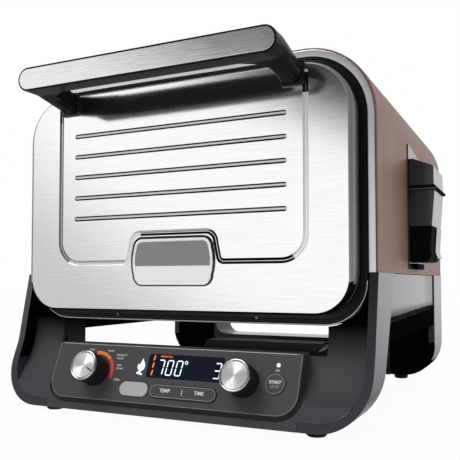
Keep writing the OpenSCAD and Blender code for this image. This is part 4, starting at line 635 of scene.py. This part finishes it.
# Handle: black grip with a steel face, on two arms
grip_lo, grip_hi = span("handle_strip")
STRIP_RIM, GRIP_DEPTH, GRIP_R = 1.7, 23.0, 5.0
ARM_W, ARM_FILLET, ARM_DROP, ARM_TAPER, ARM_R, ARM_STEPS = 22.0, 24.0, 10.0, 1.1, 4.0, 30
handle_hw = grip_hi.x + STRIP_RIM
handle_z = (grip_lo.z + grip_hi.z) / 2
handle_r = (grip_hi.z - grip_lo.z) / 2 + STRIP_RIM
handle_y = span("handle_grip")[0].y
handle_black = finish("handle_black", srgb(18, 17, 19), 0.24, grain=1400, bump=0.03, spec=0.06)
collar_dark = finish("collar_dark", srgb(46, 46, 48), 0.25, 0.6, 900, vary=0.08)
handle_steel = finish("handle_steel", srgb(238, 238, 239), 0.2, 1.0, 1500, ALONG_X, 0.12, 0.04, 0.08)


def grip_ring(inset, y):
    r = handle_r - inset
    return on_face(rounded(2 * (handle_hw - inset), 2 * r, r - 0.01, 0, handle_z), y)


def handle():
    back = handle_y + GRIP_DEPTH
    body = [(STRIP_RIM, handle_y + 1.4), (STRIP_RIM, handle_y + 0.5), (1.3, handle_y + 0.1),
            (0.7, handle_y), (0.2, handle_y + 0.3), (0, handle_y + 1)]
    body += [(inset, back - fall) for inset, fall in quarter(GRIP_R)]
    grip = loft([grip_ring(i, y) for i, y in body], cap_first=True, cap_last=True)
    arms = [handle_arm(side, back) for side in (-1, 1)]
    piece("handle_body", join(grip, *arms), "door", "black_plastic", handle_black, ("handle_grip",),
          sharp=50)
    face = [(STRIP_RIM + 0.1, handle_y + 1.2), (STRIP_RIM + 0.1, handle_y + 0.25),
            (STRIP_RIM + 0.3, handle_y + 0.05), (STRIP_RIM + 0.7, handle_y)]
    piece("handle_face", loft([grip_ring(i, y) for i, y in face], cap_last=True), "door", "brushed_steel",
          handle_steel, ("handle_strip",))


def handle_arm(side, back):
    """Arm from the grip to the door, hollowed on its inner side."""
    collar_lo, collar_hi = span("handle_collars")
    root = -collar_hi.y + collar_lo.y - 0.1
    x0, x1 = handle_hw - ARM_W, handle_hw
    start = handle_y + 3
    stations = [start + (root - start) * k / ARM_STEPS for k in range(ARM_STEPS + 1)]
    rings = []
    for y in stations:
        t = max((y - back) / (root - back), 0)
        rise = min(max(y - back, 0), ARM_FILLET)
        inner = x0 - ARM_FILLET + math.sqrt(max(ARM_FILLET ** 2 - (ARM_FILLET - rise) ** 2, 0))
        z = handle_z - ARM_DROP * t
        half = handle_r - 0.15 - ARM_TAPER * t
        loop = (arc(x1 - half, z, half, -90, 90, 24)
                + arc(inner + ARM_R, z + half - ARM_R, ARM_R, 90, 180, 8)
                + arc(inner + ARM_R, z - half + ARM_R, ARM_R, 180, 270, 8))
        rings.append([at(side * x, y, v) for x, v in loop])
    return loft(rings, cap_first=True, cap_last=True)


handle()
softened("handle_collars", 0.7, collar_dark)

# Door surround: outer bead that is bright below as a painted highlight, and two black ones inside it
sur_lo, sur_hi = span("door_surround")
SUR_TOP_R, SUR_LOW_R, BEAD_SINK, BRIGHT_SHARE = 64.2, 45.0, 0.2, 1.6


def surround_ring(inset, y):
    return on_face(arch(sur_hi.x - inset, sur_lo.z + inset, sur_hi.z - inset, SUR_TOP_R - inset,
                        SUR_LOW_R - inset), y)


def bead(name, inset, width, proud, slot, material, paint=None):
    """Half-round bead, sunk a little into the face of the surround."""
    turn = [math.radians(18 * k) for k in range(11)]
    profile = [(inset + width / 2 - width / 2 * math.cos(a),
                sur_lo.y + BEAD_SINK - (proud + BEAD_SINK) * math.sin(a)) for a in turn]
    shape = loft([surround_ring(i, y) for i, y in profile], loft_closed=True)
    piece(name, shape, "casing", slot, material, paint=paint)


# Painted highlight: the outer bead is bright metal low down and black enamel above
bead("surround_edge", 0.1, 1.9, 1.1, "bright_metal", [looks["bright_metal"], looks["black_enamel"]],
     lambda c: int(c.z / MM > sur_lo.z + SUR_LOW_R * BRIGHT_SHARE))
bead("surround_step", 2.3, 2.2, 0.35, "black_enamel", looks["black_enamel"])
bead("surround_inner", 5.0, 1.6, 0.5, "black_enamel", looks["black_enamel"])

# Base, panel parts and smoke housing: the solids with rounded edges, and a skin on each web
WEB_RECESS, LEG_WALL, LEG_DEEP, FRONT_LEG, REAR_LEG, LEG_LIT = 5.0, 8.5, 60.0, 119.0, 74.0, 30.0
frame_lo, frame_hi = span("right_side_frame")
web_x = frame_hi.x - WEB_RECESS


def inner_side(c):
    """Material number of a face: two inside the front leg (painted shade by height), one between the legs
    (painted shade), zero outside.
    """
    y = (c.y - FACE_Y) / MM
    x = abs(c.x - MID_X) / MM
    if not frame_lo.y + LEG_DEEP < y < frame_hi.y - 1 or x > web_x + WEB_RECESS - 0.4:
        return 0
    if y < frame_lo.y + FRONT_LEG and c.z / MM > LEG_LIT:
        return 2
    return int(y < frame_hi.y - REAR_LEG - 0.2 or x < web_x + WEB_RECESS - LEG_WALL + 0.2)


# Side frames: painted shade inside the legs and between them, and painted light and shade by height on the
# rest
for node in ("left_side_frame", "right_side_frame"):
    softened(node, 1.4, [leg_gloss, web_dark, bezel_black], inner_side)

WEB_LOW, WEB_FRONT, WEB_TURN, WEB_RISE, WEB_OUT, WEB_BACK = 85.0, 62.0, 70.0, 3.4, 0.25, 0.5
WEB_ROWS, WEB_STEPS, TUCK, TUCK_H = 90, 32, 0.2, 12
CLIMB, DARK_BELOW, DIM_BELOW = 6, 103, 109


def web_skin(name, side):
    """Outer skin of the web between the legs: glossy above, painted shade, dull then black, below a line
    that climbs to the rear.
    """
    y0, y1 = frame_lo.y + WEB_FRONT, frame_hi.y - REAR_LEG + 0.3
    z0, z1 = WEB_LOW + 0.3, shell_z0 - 0.6
    levels = [(z0 + (z1 - z0) * k / WEB_ROWS) for k in range(WEB_ROWS + 1)]
    tucks = [TUCK * max(0, (z0 + TUCK_H - z) / TUCK_H) ** 2 for z in levels]
    rings = []
    for k in range(WEB_STEPS + 1):
        y = y0 + (y1 - y0) * math.sin(math.pi / 2 * k / WEB_STEPS)
        out = web_x + WEB_OUT + WEB_RISE * max(0, (y - y1 + WEB_TURN) / WEB_TURN) ** 2
        rings.append([at(side * (out - tuck), y, z) for tuck, z in zip(tucks, levels)])
    back = [[at(side * (web_x - WEB_BACK), y, z) for z in levels] for y in (y1, y0)]
    shape = loft(rings + back, ring_closed=False, loft_closed=True)

    # Painted shade: a dull band, then black below it
    def paint(c):
        climb = (c.y - at(0, y0, 0).y) / MM / (y1 - y0)
        level = c.z / MM - CLIMB * climb
        return 2 if level < DARK_BELOW else int(level < DIM_BELOW)

    piece(name, shape, "casing", "black_plastic", [web_gloss, web_dim, web_dark], paint=paint)


web_skin("left_web_skin", -1)
web_skin("right_web_skin", 1)
# The crossbar takes the legs' painted light and shade by height
softened("rear_crossbar", 1.0, leg_gloss)
# The cover's top takes a painted reflection
cover_hi = span("electronics_cover")[1]
softened("electronics_cover", 0.8, [cover_black, cover_top], lambda c: int(c.z / MM > cover_hi.z - 0.3))
# The bezel takes painted shade that darkens towards its top, under the door
softened("front_bezel", 0.5, bezel_black)
for node, width in (("feet", 0.8), ("control_fascia", 0.4), ("smoke_housing", 1.6), ("rear_panel", 0.6),
                    ("smoke_button", 0.5), ("time_rocker", 0.35), ("start_button", 0.35)):
    softened(node, width)

# Smoke box: wall bracket, cup with its pull tongue, and the lid's end plate
lid_lo, lid_hi = span("smoke_lid")
cup_lo, cup_hi = span("smoke_cup")
bracket_lo, bracket_hi = span("smoke_bracket")
house_hi = span("smoke_housing")[1]
BARREL_R, EAR_T, PLATE_T, RUN, LIP_H, LID_FALL, LID_IN, FRONT_T = 4.5, 3.0, 1.2, 0.3, 5.0, 9.0, 3.0, 1.4
STOP_OUT, STOP_H, STOP_LEN, STOP_R, TONGUE_AT = 8.0, 7.0, 44.0, 1.2, 0.45
plate_x = bracket_lo.x + PLATE_T
hinge_x = plate_x + 0.1 + BARREL_R + RUN
hinge_z = lid_hi.z - BARREL_R


def along_y(loop, stations):
    """Loft of an (x, z) outline; stations are (y, inset towards the outline's middle)."""
    mx = sum(x for x, _ in loop) / len(loop)
    mz = sum(z for _, z in loop) / len(loop)
    rings = []
    for y, inset in stations:
        ring = []
        for x, z in loop:
            k = 1 - inset / math.hypot(x - mx, z - mz)
            ring.append(at(mx + (x - mx) * k, y, mz + (z - mz) * k))
        rings.append(ring)
    return loft(rings, cap_first=True, cap_last=True)


def bracket():
    rise = bracket_hi.z - lid_hi.z
    top = lid_hi.z
    y0, y1 = bracket_lo.y, bracket_hi.y
    edge = (arc(y0 + 3, bracket_lo.z + 3, 3, 180, 270, 6) + arc(y1 - 3, bracket_lo.z + 3, 3, 270, 360, 6)
            + arc(y1 - 6, top + rise * 0.5 - 6, 6, 0, 75, 6) + arc(y0 + 4, top + rise - 4.5, 4, 80, 180, 6))
    walls = [[at(x, y, z) for y, z in edge] for x in (bracket_lo.x, plate_x)]
    plate = loft(walls, cap_first=True, cap_last=True)
    ears = []
    for y in (lid_lo.y - EAR_T - RUN, lid_hi.y + RUN):
        loop = circle(hinge_x, hinge_z, BARREL_R, 40)
        ears.append(along_y(loop, [(y, 0.4), (y + 0.4, 0), (y + EAR_T - 0.4, 0), (y + EAR_T, 0.4)]))
        root = [(plate_x - 0.4, hinge_z - BARREL_R), (hinge_x, hinge_z - BARREL_R),
                (hinge_x, hinge_z + BARREL_R), (plate_x - 0.4, hinge_z + BARREL_R)]
        ears.append(along_y(root, [(y + 0.05, 0), (y + EAR_T - 0.05, 0)]))
    middle = (y0 + y1) / 2
    front, rear = middle - STOP_LEN / 2, middle + STOP_LEN / 2
    stop_x = (bracket_lo.x + STOP_OUT + plate_x) / 2 - 0.2
    stop = rounded(STOP_OUT - PLATE_T, STOP_H, STOP_R, stop_x, bracket_lo.z + STOP_H / 2)
    block = along_y(stop, [(front, 0.6), (front + 0.6, 0), (rear - 0.6, 0), (rear, 0.6)])
    # The plate takes the legs' painted light and shade by height
    piece("bracket_body", join(plate, *ears, block), "casing", "black_plastic", [leg_gloss, smoke_black],
          ("smoke_bracket",), paint=lambda c: int((c.x - MID_X) / MM > plate_x + 0.3))


def lid_plate():
    """Front of the lid, in front of the hinge ear."""
    body = lid_hi.x - LID_IN
    low = lid_lo.z
    rise = arc(hinge_x, hinge_z, BARREL_R, 90, 180, 10)
    loop = ([(plate_x + 0.5, low), (lid_hi.x, low), (lid_hi.x, low + LIP_H / 2), (body, low + LIP_H)]
            + [(body, lid_hi.z - LID_FALL - 3), (body - 3, lid_hi.z - LID_FALL + 0.6)] + rise)
    y1 = lid_lo.y - EAR_T - 2 * RUN
    y0 = y1 - FRONT_T
    plate = along_y(loop, [(y0, 1.1), (y0 + 0.3, 0.4), (y0 + 0.9, 0), (y1, 0)])
    inner = hinge_x + BARREL_R + 1
    fill = [(inner, low + 0.05), (body - 0.05, low + 0.05), (body - 0.05, lid_hi.z - LID_FALL - 3),
            (inner, lid_hi.z - 7)]
    bridge = along_y(fill, [(y1 - 0.2, 0), (lid_lo.y + 0.2, 0)])
    piece("lid_front", join(plate, bridge), "pellet_lid", "slate_grey", looks["slate_grey"])
    strip = [(plate_x + 0.5, low), (lid_hi.x, low), (lid_hi.x, low + LIP_H / 2),
             (body + 0.4, low + LIP_H - 0.4), (plate_x + 0.5, low + LIP_H - 0.4)]
    lip = along_y(strip, [(y0 - 0.5, 0.6), (y0 - 0.2, 0.1), (y0 + 1, 0)])
    piece("lid_lip", lip, "pellet_lid", "gloss_black", smoke_black)
    line = [(plate_x + 0.7, low - 0.05), (lid_hi.x - 0.4, low - 0.05), (lid_hi.x - 0.4, low + 0.3),
            (plate_x + 0.7, low + 0.3)]
    thread = along_y(line, [(y0 - 0.75, 0.1), (y0 - 0.3, 0)])
    piece("lid_line", thread, "pellet_lid", "silver_plastic", print_grey)


def tongue():
    """Pull tongue on the outer face of the cup, flared at its foot."""
    taper = (house_hi.x - (cup_hi.x - 2.5)) / (house_hi.z - cup_lo.z)
    levels = (cup_hi.z + 0.2, cup_hi.z - 8, cup_hi.z - 16, cup_lo.z + 14)
    out = [(house_hi.x - taper * (house_hi.z - z), z) for z in levels]
    foot = [(out[-1][0] + 0.6, cup_lo.z + 11), (cup_hi.x - 0.3, cup_lo.z + 8.4),
            (cup_hi.x + 0.9, cup_lo.z + 6.6), (cup_hi.x + 0.8, cup_lo.z + 5.4)]
    face = [(x + 0.7, z) for x, z in out] + [(x + 0.5, z) for x, z in foot]
    back = [(x - 0.2, z) for x, z in out] + [(x - 0.5, z - 0.6) for x, z in foot]
    loop = face + back[::-1]
    y0 = cup_lo.y + TONGUE_AT * (cup_hi.y - cup_lo.y)
    rings = [[at(x, y, z) for x, z in loop] for y in (y0, y0 + 10, cup_hi.y - 10, cup_hi.y - 0.5)]
    shape = loft(rings, cap_first=True, cap_last=True)
    piece("cup_tongue", shape, "casing", "slate_grey", looks["slate_grey"])


bracket()
softened("smoke_lid", 1.2, [looks["slate_grey"], smoke_black],
         lambda c: int(c.z / MM < lid_lo.z + LIP_H - 0.3))
lid_plate()
softened("smoke_cup", 1.2, smoke_black)
tongue()

# Dials
KNOB_R, KNOB_FLARE, KNOB_H, KNOB_GAP = 16.2, 0.5, 25.0, 0.8
RIDGES, RIDGE_H, TURNS, SPUN_CUT, SPUN_DISH = 60, 0.22, 44, 0.12, 0.4
dial_s = -31.1
dial_x = {"mode": -89.5, "set": 89.5}
knob_black = finish("knob_black", srgb(24, 24, 26), 0.4, grain=1300, bump=0.05, spec=0.4)


def lathe(profile, steps=180, ridge=None):
    """Turned shape about the local axis, from (radius, height) pairs."""
    turn = [2 * math.pi * k / steps for k in range(steps)]
    rings = []
    for i, (r, h) in enumerate(profile):
        reach = [r + (ridge(i, a) if ridge else 0) for a in turn]
        rings.append([Vector((d * math.cos(a), d * math.sin(a), h)) for d, a in zip(reach, turn)])
    return rings


def dial(name):
    """Ridged grip, bright rim and spun face of a knob."""
    body = name + "_dial"
    place = panel_place(dial_x[name], dial_s)
    skirt = KNOB_R + KNOB_FLARE
    side = [(3, KNOB_GAP), (skirt - 0.4, KNOB_GAP), (skirt, KNOB_GAP + 0.5), (skirt, 2.2),
            (KNOB_R + 0.3, 2.6), (KNOB_R + 0.3, 3), (KNOB_R, 20.6), (KNOB_R, 21),
            (KNOB_R - 0.2, 21.4), (KNOB_R - 0.2, 22.4), (12, 22.4)]

    def ridge(i, a):
        return RIDGE_H * math.cos(RIDGES * a) if 5 <= i <= 6 else 0

    piece(name + "_grip", loft(lathe(side, RIDGES * 6, ridge), cap_first=True, cap_last=True), body,
          "black_plastic", knob_black, (name + "_knob",), place=place, sharp=45)
    rim = [(KNOB_R - 0.3, 22.2), (KNOB_R, 22.5), (KNOB_R, 24), (KNOB_R - 0.25, 24.7),
           (KNOB_R - 0.9, KNOB_H), (KNOB_R - 1.6, 24.8), (KNOB_R - 1.9, 24.2), (KNOB_R - 1.9, 22.2)]
    piece(name + "_rim", loft(lathe(rim), loft_closed=True), body, "bright_metal", looks["bright_metal"],
          place=place, sharp=60)
    face = [(KNOB_R - 2.3, 22.6), (KNOB_R - 2.3, 24.2), (KNOB_R - 2.5, 24.5)]
    face += [((KNOB_R - 2.6) * (1 - k / TURNS) + 0.1, 24.6 - SPUN_DISH * k / TURNS - SPUN_CUT * (k % 2))
             for k in range(TURNS + 1)]
    piece(name + "_spun", loft(lathe(face), cap_last=True), body, "aluminium", looks["aluminium"],
          (name + "_cap",), place=place, sharp=40)


for name in dial_x:
    dial(name)

# Drawings on the panel: printed words, lit digits, thin outlines
WORD_HALF, WORD_LIFT, FLAT_SINK, LINE_SINK = 0.04, 0.02, 0.02, 0.05


def face_height(node):
    """How far a node's outer face stands from the panel's face."""
    here = nodes[node].matrix_world
    start = on_panel(0, 0, 0)
    return max((here @ v.co - start).dot(PANEL_OUT) for v in nodes[node].data.vertices) / MM


def flat(loop, thick=0.08):
    rings = [[Vector((x, s, h)) for x, s in loop] for h in (-FLAT_SINK, thick)]
    return loft(rings, cap_first=True, cap_last=True)


def outline(loop_of, width, proud=0.12):
    """Thin raised line inside an outline; loop_of gives the outline at an inset."""
    profile = [(0, -LINE_SINK), (0, proud * 0.6), (width * 0.25, proud), (width * 0.75, proud),
               (width, proud * 0.6), (width, -LINE_SINK)]
    return loft([[Vector((x, s, h)) for x, s in loop_of(i)] for i, h in profile], loft_closed=True)


def words(text, size, x, s, side="CENTER", heavy=0.0):
    """Mesh of a word; heavy thickens its strokes."""
    data = bpy.data.curves.new("words", "FONT")
    data.body = text
    data.size = size
    data.align_x = side
    data.align_y = "CENTER"
    data.extrude = WORD_HALF
    data.offset = heavy
    data.resolution_u = 4
    obj = bpy.data.objects.new("words", data)
    mesh = bpy.data.meshes.new_from_object(obj)
    verts = [v.co + Vector((x, s, WORD_LIFT)) for v in mesh.vertices]
    faces = [tuple(p.vertices) for p in mesh.polygons]
    bpy.data.objects.remove(obj)
    bpy.data.meshes.remove(mesh)
    return verts, faces


def drawn(name, shapes, body, slot, material, h=0.0, x=0.0, s=0.0):
    piece(name, join(*shapes), body, slot, material, place=panel_place(x, s, h))


SEGMENTS = {"a": ((0, 1), (1, 1)), "b": ((1, 1), (1, 0.5)), "c": ((1, 0.5), (1, 0)),
            "d": ((0, 0), (1, 0)), "e": ((0, 0.5), (0, 0)), "f": ((0, 1), (0, 0.5)),
            "g": ((0, 0.5), (1, 0.5))}
DIGIT_W, DIGIT_H, DIGIT_BAR, DIGIT_GAP, DIGIT_LEAN = 6.6, 15.6, 1.15, 0.25, 0.09


def digit(lit, x, s):
    """Seven-bar digit with its lower left at x, s."""
    shapes = []
    for key in lit:
        (x0, s0), (x1, s1) = [(u * DIGIT_W, v * DIGIT_H) for u, v in SEGMENTS[key]]
        d = math.hypot(x1 - x0, s1 - s0)
        ux, us = (x1 - x0) / d, (s1 - s0) / d
        gap, half = DIGIT_GAP + DIGIT_BAR / 2, DIGIT_BAR / 2
        bar = [(DIGIT_GAP, 0), (gap, half), (d - gap, half), (d - DIGIT_GAP, 0), (d - gap, -half),
               (gap, -half)]
        loop = [(x0 + a * ux - b * us, s0 + a * us + b * ux) for a, b in bar]
        shapes.append(flat([(x + p + q * DIGIT_LEAN, s + q) for p, q in loop]))
    return shapes


glass = face_height("display_window") + 0.03
window_s = -21.0
digit_s = window_s - DIGIT_H / 2 - 1.2
number = digit("abc", -12.4, digit_s) + digit("abcdef", -1.5, digit_s) + digit("abcdef", 9.6, digit_s)
number.append(outline(lambda i: circle(21.5, digit_s + DIGIT_H - 1.2, 1.9 - i, 24), 0.7, 0.08))
number += digit("abcdg", 54.6, digit_s)
drawn("display_number", number, "casing", "clear_lens", lit_white, glass)
marks = [flat(band([(-18.2, window_s + d - 2.2), (-17.6, window_s + d + 2.2)], 0.75))
         for d in (8.6, 0.6, -7.4)]
marks.append(words("PREHEATING", 2.5, -3.4, window_s + 10.6, heavy=0.03))
drawn("display_marks", marks, "casing", "clear_lens", lit_orange, glass)

flame = ([(-31.6, -13.6), (-30.9, -16.2), (-28.6, -19.0), (-27.8, -22.0), (-28.6, -25.2), (-31.0, -27.4)]
         + [(-33.6, -27.4), (-36.2, -25.4), (-37.0, -22.6), (-36.2, -19.8), (-34.9, -21.0), (-33.4, -18.2)])
logs = [band([(-36.2, -30.0), (-30.2, -31.0)], 0.75), band([(-35.4, -28.4), (-31.6, -29.0)], 0.5)]
drawn("flame_sign", [flat(flame), *(flat(loop) for loop in logs)], "casing", "clear_lens", lit_white)

SMALL = 2.9
DIAL_WORDS = [("BAKE", -101.8, -7.1, "CENTER"), ("BROIL", -75.6, -7.4, "CENTER"),
              ("SPECIALTY", -67.1, -11.7, "LEFT"), ("ROAST", -66.0, -15.4, "LEFT"),
              ("MAX", -63.8, -23.0, "LEFT"), ("ROAST", -63.8, -26.6, "LEFT"),
              ("PIZZA", -63.8, -38.9, "LEFT")]
small = [words(text, SMALL, x, s, side) for text, x, s, side in DIAL_WORDS]
drawn("dial_words", small, "casing", "panel_black", print_white)
SWEEP_IN, SWEEP_OUT, SWEEP_FROM, SWEEP_MID, SWEEP_TO = 19.2, 22.9, 101, 45, -19


def sweep(a0, a1):
    x = dial_x["mode"]
    return flat(arc(x, dial_s, SWEEP_OUT, a0, a1) + arc(x, dial_s, SWEEP_IN, a1, a0))


drawn("dial_sweep_warm", [sweep(SWEEP_FROM, SWEEP_MID)], "casing", "panel_black", print_orange)
drawn("dial_sweep_hot", [sweep(SWEEP_MID, SWEEP_TO)], "casing", "panel_black", print_red)
MARK_TURN, MARK_HALF, MARK_H = math.radians(-25), 0.55, 24.55
mark = [(r * math.cos(MARK_TURN), r * math.sin(MARK_TURN)) for r in (6.5, 9, 11.5, 13.7)]
drawn("mode_mark", [flat(band(mark, MARK_HALF), 0.12)], "mode_dial", "gloss_black", looks["gloss_black"],
      MARK_H, dial_x["mode"], dial_s)

ROCKER_X, ROCKER_S, ROCKER_W, ROCKER_H = 23.6, -47.6, 77.6, 14.0
key_h = face_height("time_rocker")


def rocker_loop(inset):
    return rounded(ROCKER_W - 1.2 - 2 * inset, ROCKER_H - 1.2 - 2 * inset, ROCKER_H / 2 - 0.62 - inset,
                   ROCKER_X, ROCKER_S)


drawn("rocker_line", [outline(rocker_loop, 0.5)], "time_key", "panel_black", print_grey, key_h)
rocker_marks = [words(text, 5.2, x, -47.0, heavy=0.1) for text, x in (("TEMP", 3.3), ("TIME", 43.2))]
rocker_marks.append(flat(band([(ROCKER_X, -50.2), (ROCKER_X, -47), (ROCKER_X, -44.7)], 0.3)))
drawn("rocker_words", rocker_marks, "time_key", "panel_black", print_white, key_h)
START_X, START_S, START_R = 123.1, -31.5, 9.8
start_h = face_height("start_button")
drawn("start_ring", [outline(lambda i: circle(START_X, START_S, START_R - i), 0.5)], "start_key",
      "panel_black", print_grey, start_h)
drawn("start_word", [words("START", 4.3, START_X, -29.9, heavy=0.12)], "start_key", "panel_black",
      print_white, start_h)
drawn("stop_word", [words("STOP", 3.7, START_X, -34.4, heavy=0.04)], "start_key", "panel_black",
      print_grey, start_h)
drawn("power_word", [words("ON", SMALL, START_X + 0.4, -17.9)], "casing", "panel_black", print_white)

fascia_hw = span("control_fascia")[1].x
PANEL_LEN, PANEL_R = 62.3, 22.0


def panel_loop(inset):
    return arch(fascia_hw - 0.5 - inset, -PANEL_LEN + 0.5 + inset, -0.5 - inset, 2.5 - inset,
                PANEL_R - 0.5 - inset)


# Painted highlight: a thin grey line just inside the panel's edge
drawn("panel_edge_line", [outline(panel_loop, 0.35, 0.06)], "casing", "panel_black", print_grey)
# Painted highlight: a thin silver band along the panel's top edge
drawn("panel_top_line", [flat(band([(-fascia_hw + 6, -0.9), (fascia_hw - 6, -0.9)], 0.3))], "casing",
      "silver_plastic", looks["silver_plastic"])

# Camera at the photograph's place
CAMERA_AT, CAMERA_TILT, CAMERA_TURN = (0.34005, -0.7938, 0.1478), 92.335, 25.493
LENS, SENSOR, SHIFT_Y = 50.93, 36.0, 0.0549
eye = bpy.data.cameras.new("camera")
eye.sensor_width = SENSOR
eye.lens = LENS
eye.shift_y = SHIFT_Y
camera = bpy.data.objects.new("camera", eye)
camera.location = CAMERA_AT
camera.rotation_euler = (math.radians(CAMERA_TILT), 0, math.radians(CAMERA_TURN))
bpy.context.scene.collection.objects.link(camera)
bpy.context.scene.camera = camera

# Light and floor
bpy.context.scene.view_settings.view_transform = "Standard"
SKY_LEVEL, FLOOR_SIZE, FLOOR_STEPS, FLOOR_SEEN = 0.42, 14.0, 8, 0.97
WHITE = (1, 1, 1, 1)


def lamp(name, place, aim, power, size):
    """Square lamp; only the key shows in reflections."""
    light = bpy.data.lights.new(name, "AREA")
    light.energy = power
    light.size = size
    obj = bpy.data.objects.new(name, light)
    obj.location = place
    obj.rotation_euler = (Vector(aim) - Vector(place)).to_track_quat("-Z", "Y").to_euler()
    obj.visible_glossy = name == "key"
    bpy.context.scene.collection.objects.link(obj)


lamp("key", (-0.8, -1.3, 2.3), (0, 0, 0.2), 36, 1.4)
lamp("side", (1.8, 0.8, 1.4), (0.1, 0.1, 0.2), 13, 1.0)
lamp("back", (0.2, 1.8, 1.8), (0, 0, 0.2), 12, 1.4)


def seen_ray(tree, kinds):
    """One where the ray is of any of these kinds."""
    path = tree.nodes.new("ShaderNodeLightPath")
    return combined(tree, "MAXIMUM", [path.outputs[kind] for kind in kinds])


SEEN = ["Is Camera Ray", "Is Transmission Ray"]


def mixed(tree, share, first, second):
    """Mix of two shaders; the share is that of the second."""
    mix = tree.nodes.new("ShaderNodeMixShader")
    tree.links.new(share, mix.inputs["Fac"])
    tree.links.new(first.outputs[0], mix.inputs[1])
    tree.links.new(second.outputs[0], mix.inputs[2])
    return mix


# Reflected room: white, darker overhead to the right, a little greyer low on the left and below
ROOM_TONES = [((0.8, -0.6, 2.6), 0.87, 1.07, 0.05), ((-1.0, 0.0, -0.9), 0.44, 0.62, 0.6),
              ((0.0, 0.0, -1.0), 0.03, 0.3, 0.6)]


def fall(tree, lean, start, end, least):
    """Share that falls from one to least as a direction goes from start to end along lean."""
    toward = tree.nodes.new("ShaderNodeTexCoord")
    along = tree.nodes.new("ShaderNodeVectorMath")
    along.operation = "DOT_PRODUCT"
    along.inputs[1].default_value = lean
    tree.links.new(toward.outputs["Generated"], along.inputs[0])
    return mapped(tree, along.outputs["Value"], start, end, 1.0, least)


def sky(level):
    """White to the camera, the room's tones to glossy rays, an even light to the rest."""
    world = bpy.data.worlds.new("studio")
    bpy.context.scene.world = world
    world.use_nodes = True
    tree = world.node_tree
    soft = tree.nodes["Background"]
    white = tree.nodes.new("ShaderNodeBackground")
    room = tree.nodes.new("ShaderNodeBackground")
    for background in (soft, white, room):
        background.inputs["Color"].default_value = WHITE
    soft.inputs["Strength"].default_value = level
    white.inputs["Strength"].default_value = 1.0
    shares = [fall(tree, *way) for way in ROOM_TONES]
    tree.links.new(combined(tree, "MULTIPLY", shares), room.inputs["Strength"])
    glossy = mixed(tree, seen_ray(tree, ["Is Glossy Ray"]), soft, room)
    mix = mixed(tree, seen_ray(tree, SEEN), glossy, white)
    tree.links.new(mix.outputs[0], tree.nodes["World Output"].inputs["Surface"])


sky(SKY_LEVEL)


def studio_floor(size, steps):
    """Square floor that looks almost white to the camera."""
    mesh = bpy.data.meshes.new("floor")
    ticks = [size * (i / steps - 0.5) for i in range(steps + 1)]
    points = [(x, y, 0) for x in ticks for y in ticks]
    row = steps + 1
    corners = [i * row + k for i in range(steps) for k in range(steps)]
    mesh.from_pydata(points, [], [(c, c + 1, c + row + 1, c + row) for c in corners])
    obj = bpy.data.objects.new("floor", mesh)
    bpy.context.scene.collection.objects.link(obj)
    mat = finish("floor_paint", (0.93, 0.93, 0.93, 1), 0.9, grain=30, vary=0.01, bump=0.0)
    tree = mat.node_tree
    glow = tree.nodes.new("ShaderNodeEmission")
    glow.inputs["Strength"].default_value = 1.0
    share = mapped(tree, seen_ray(tree, SEEN), 0.0, 1.0, 0.0, FLOOR_SEEN)
    mix = mixed(tree, share, tree.nodes["Principled BSDF"], glow)
    tree.links.new(mix.outputs[0], tree.nodes["Material Output"].inputs["Surface"])
    mesh.materials.append(mat)
    obj.visible_glossy = False


studio_floor(FLOOR_SIZE, FLOOR_STEPS)
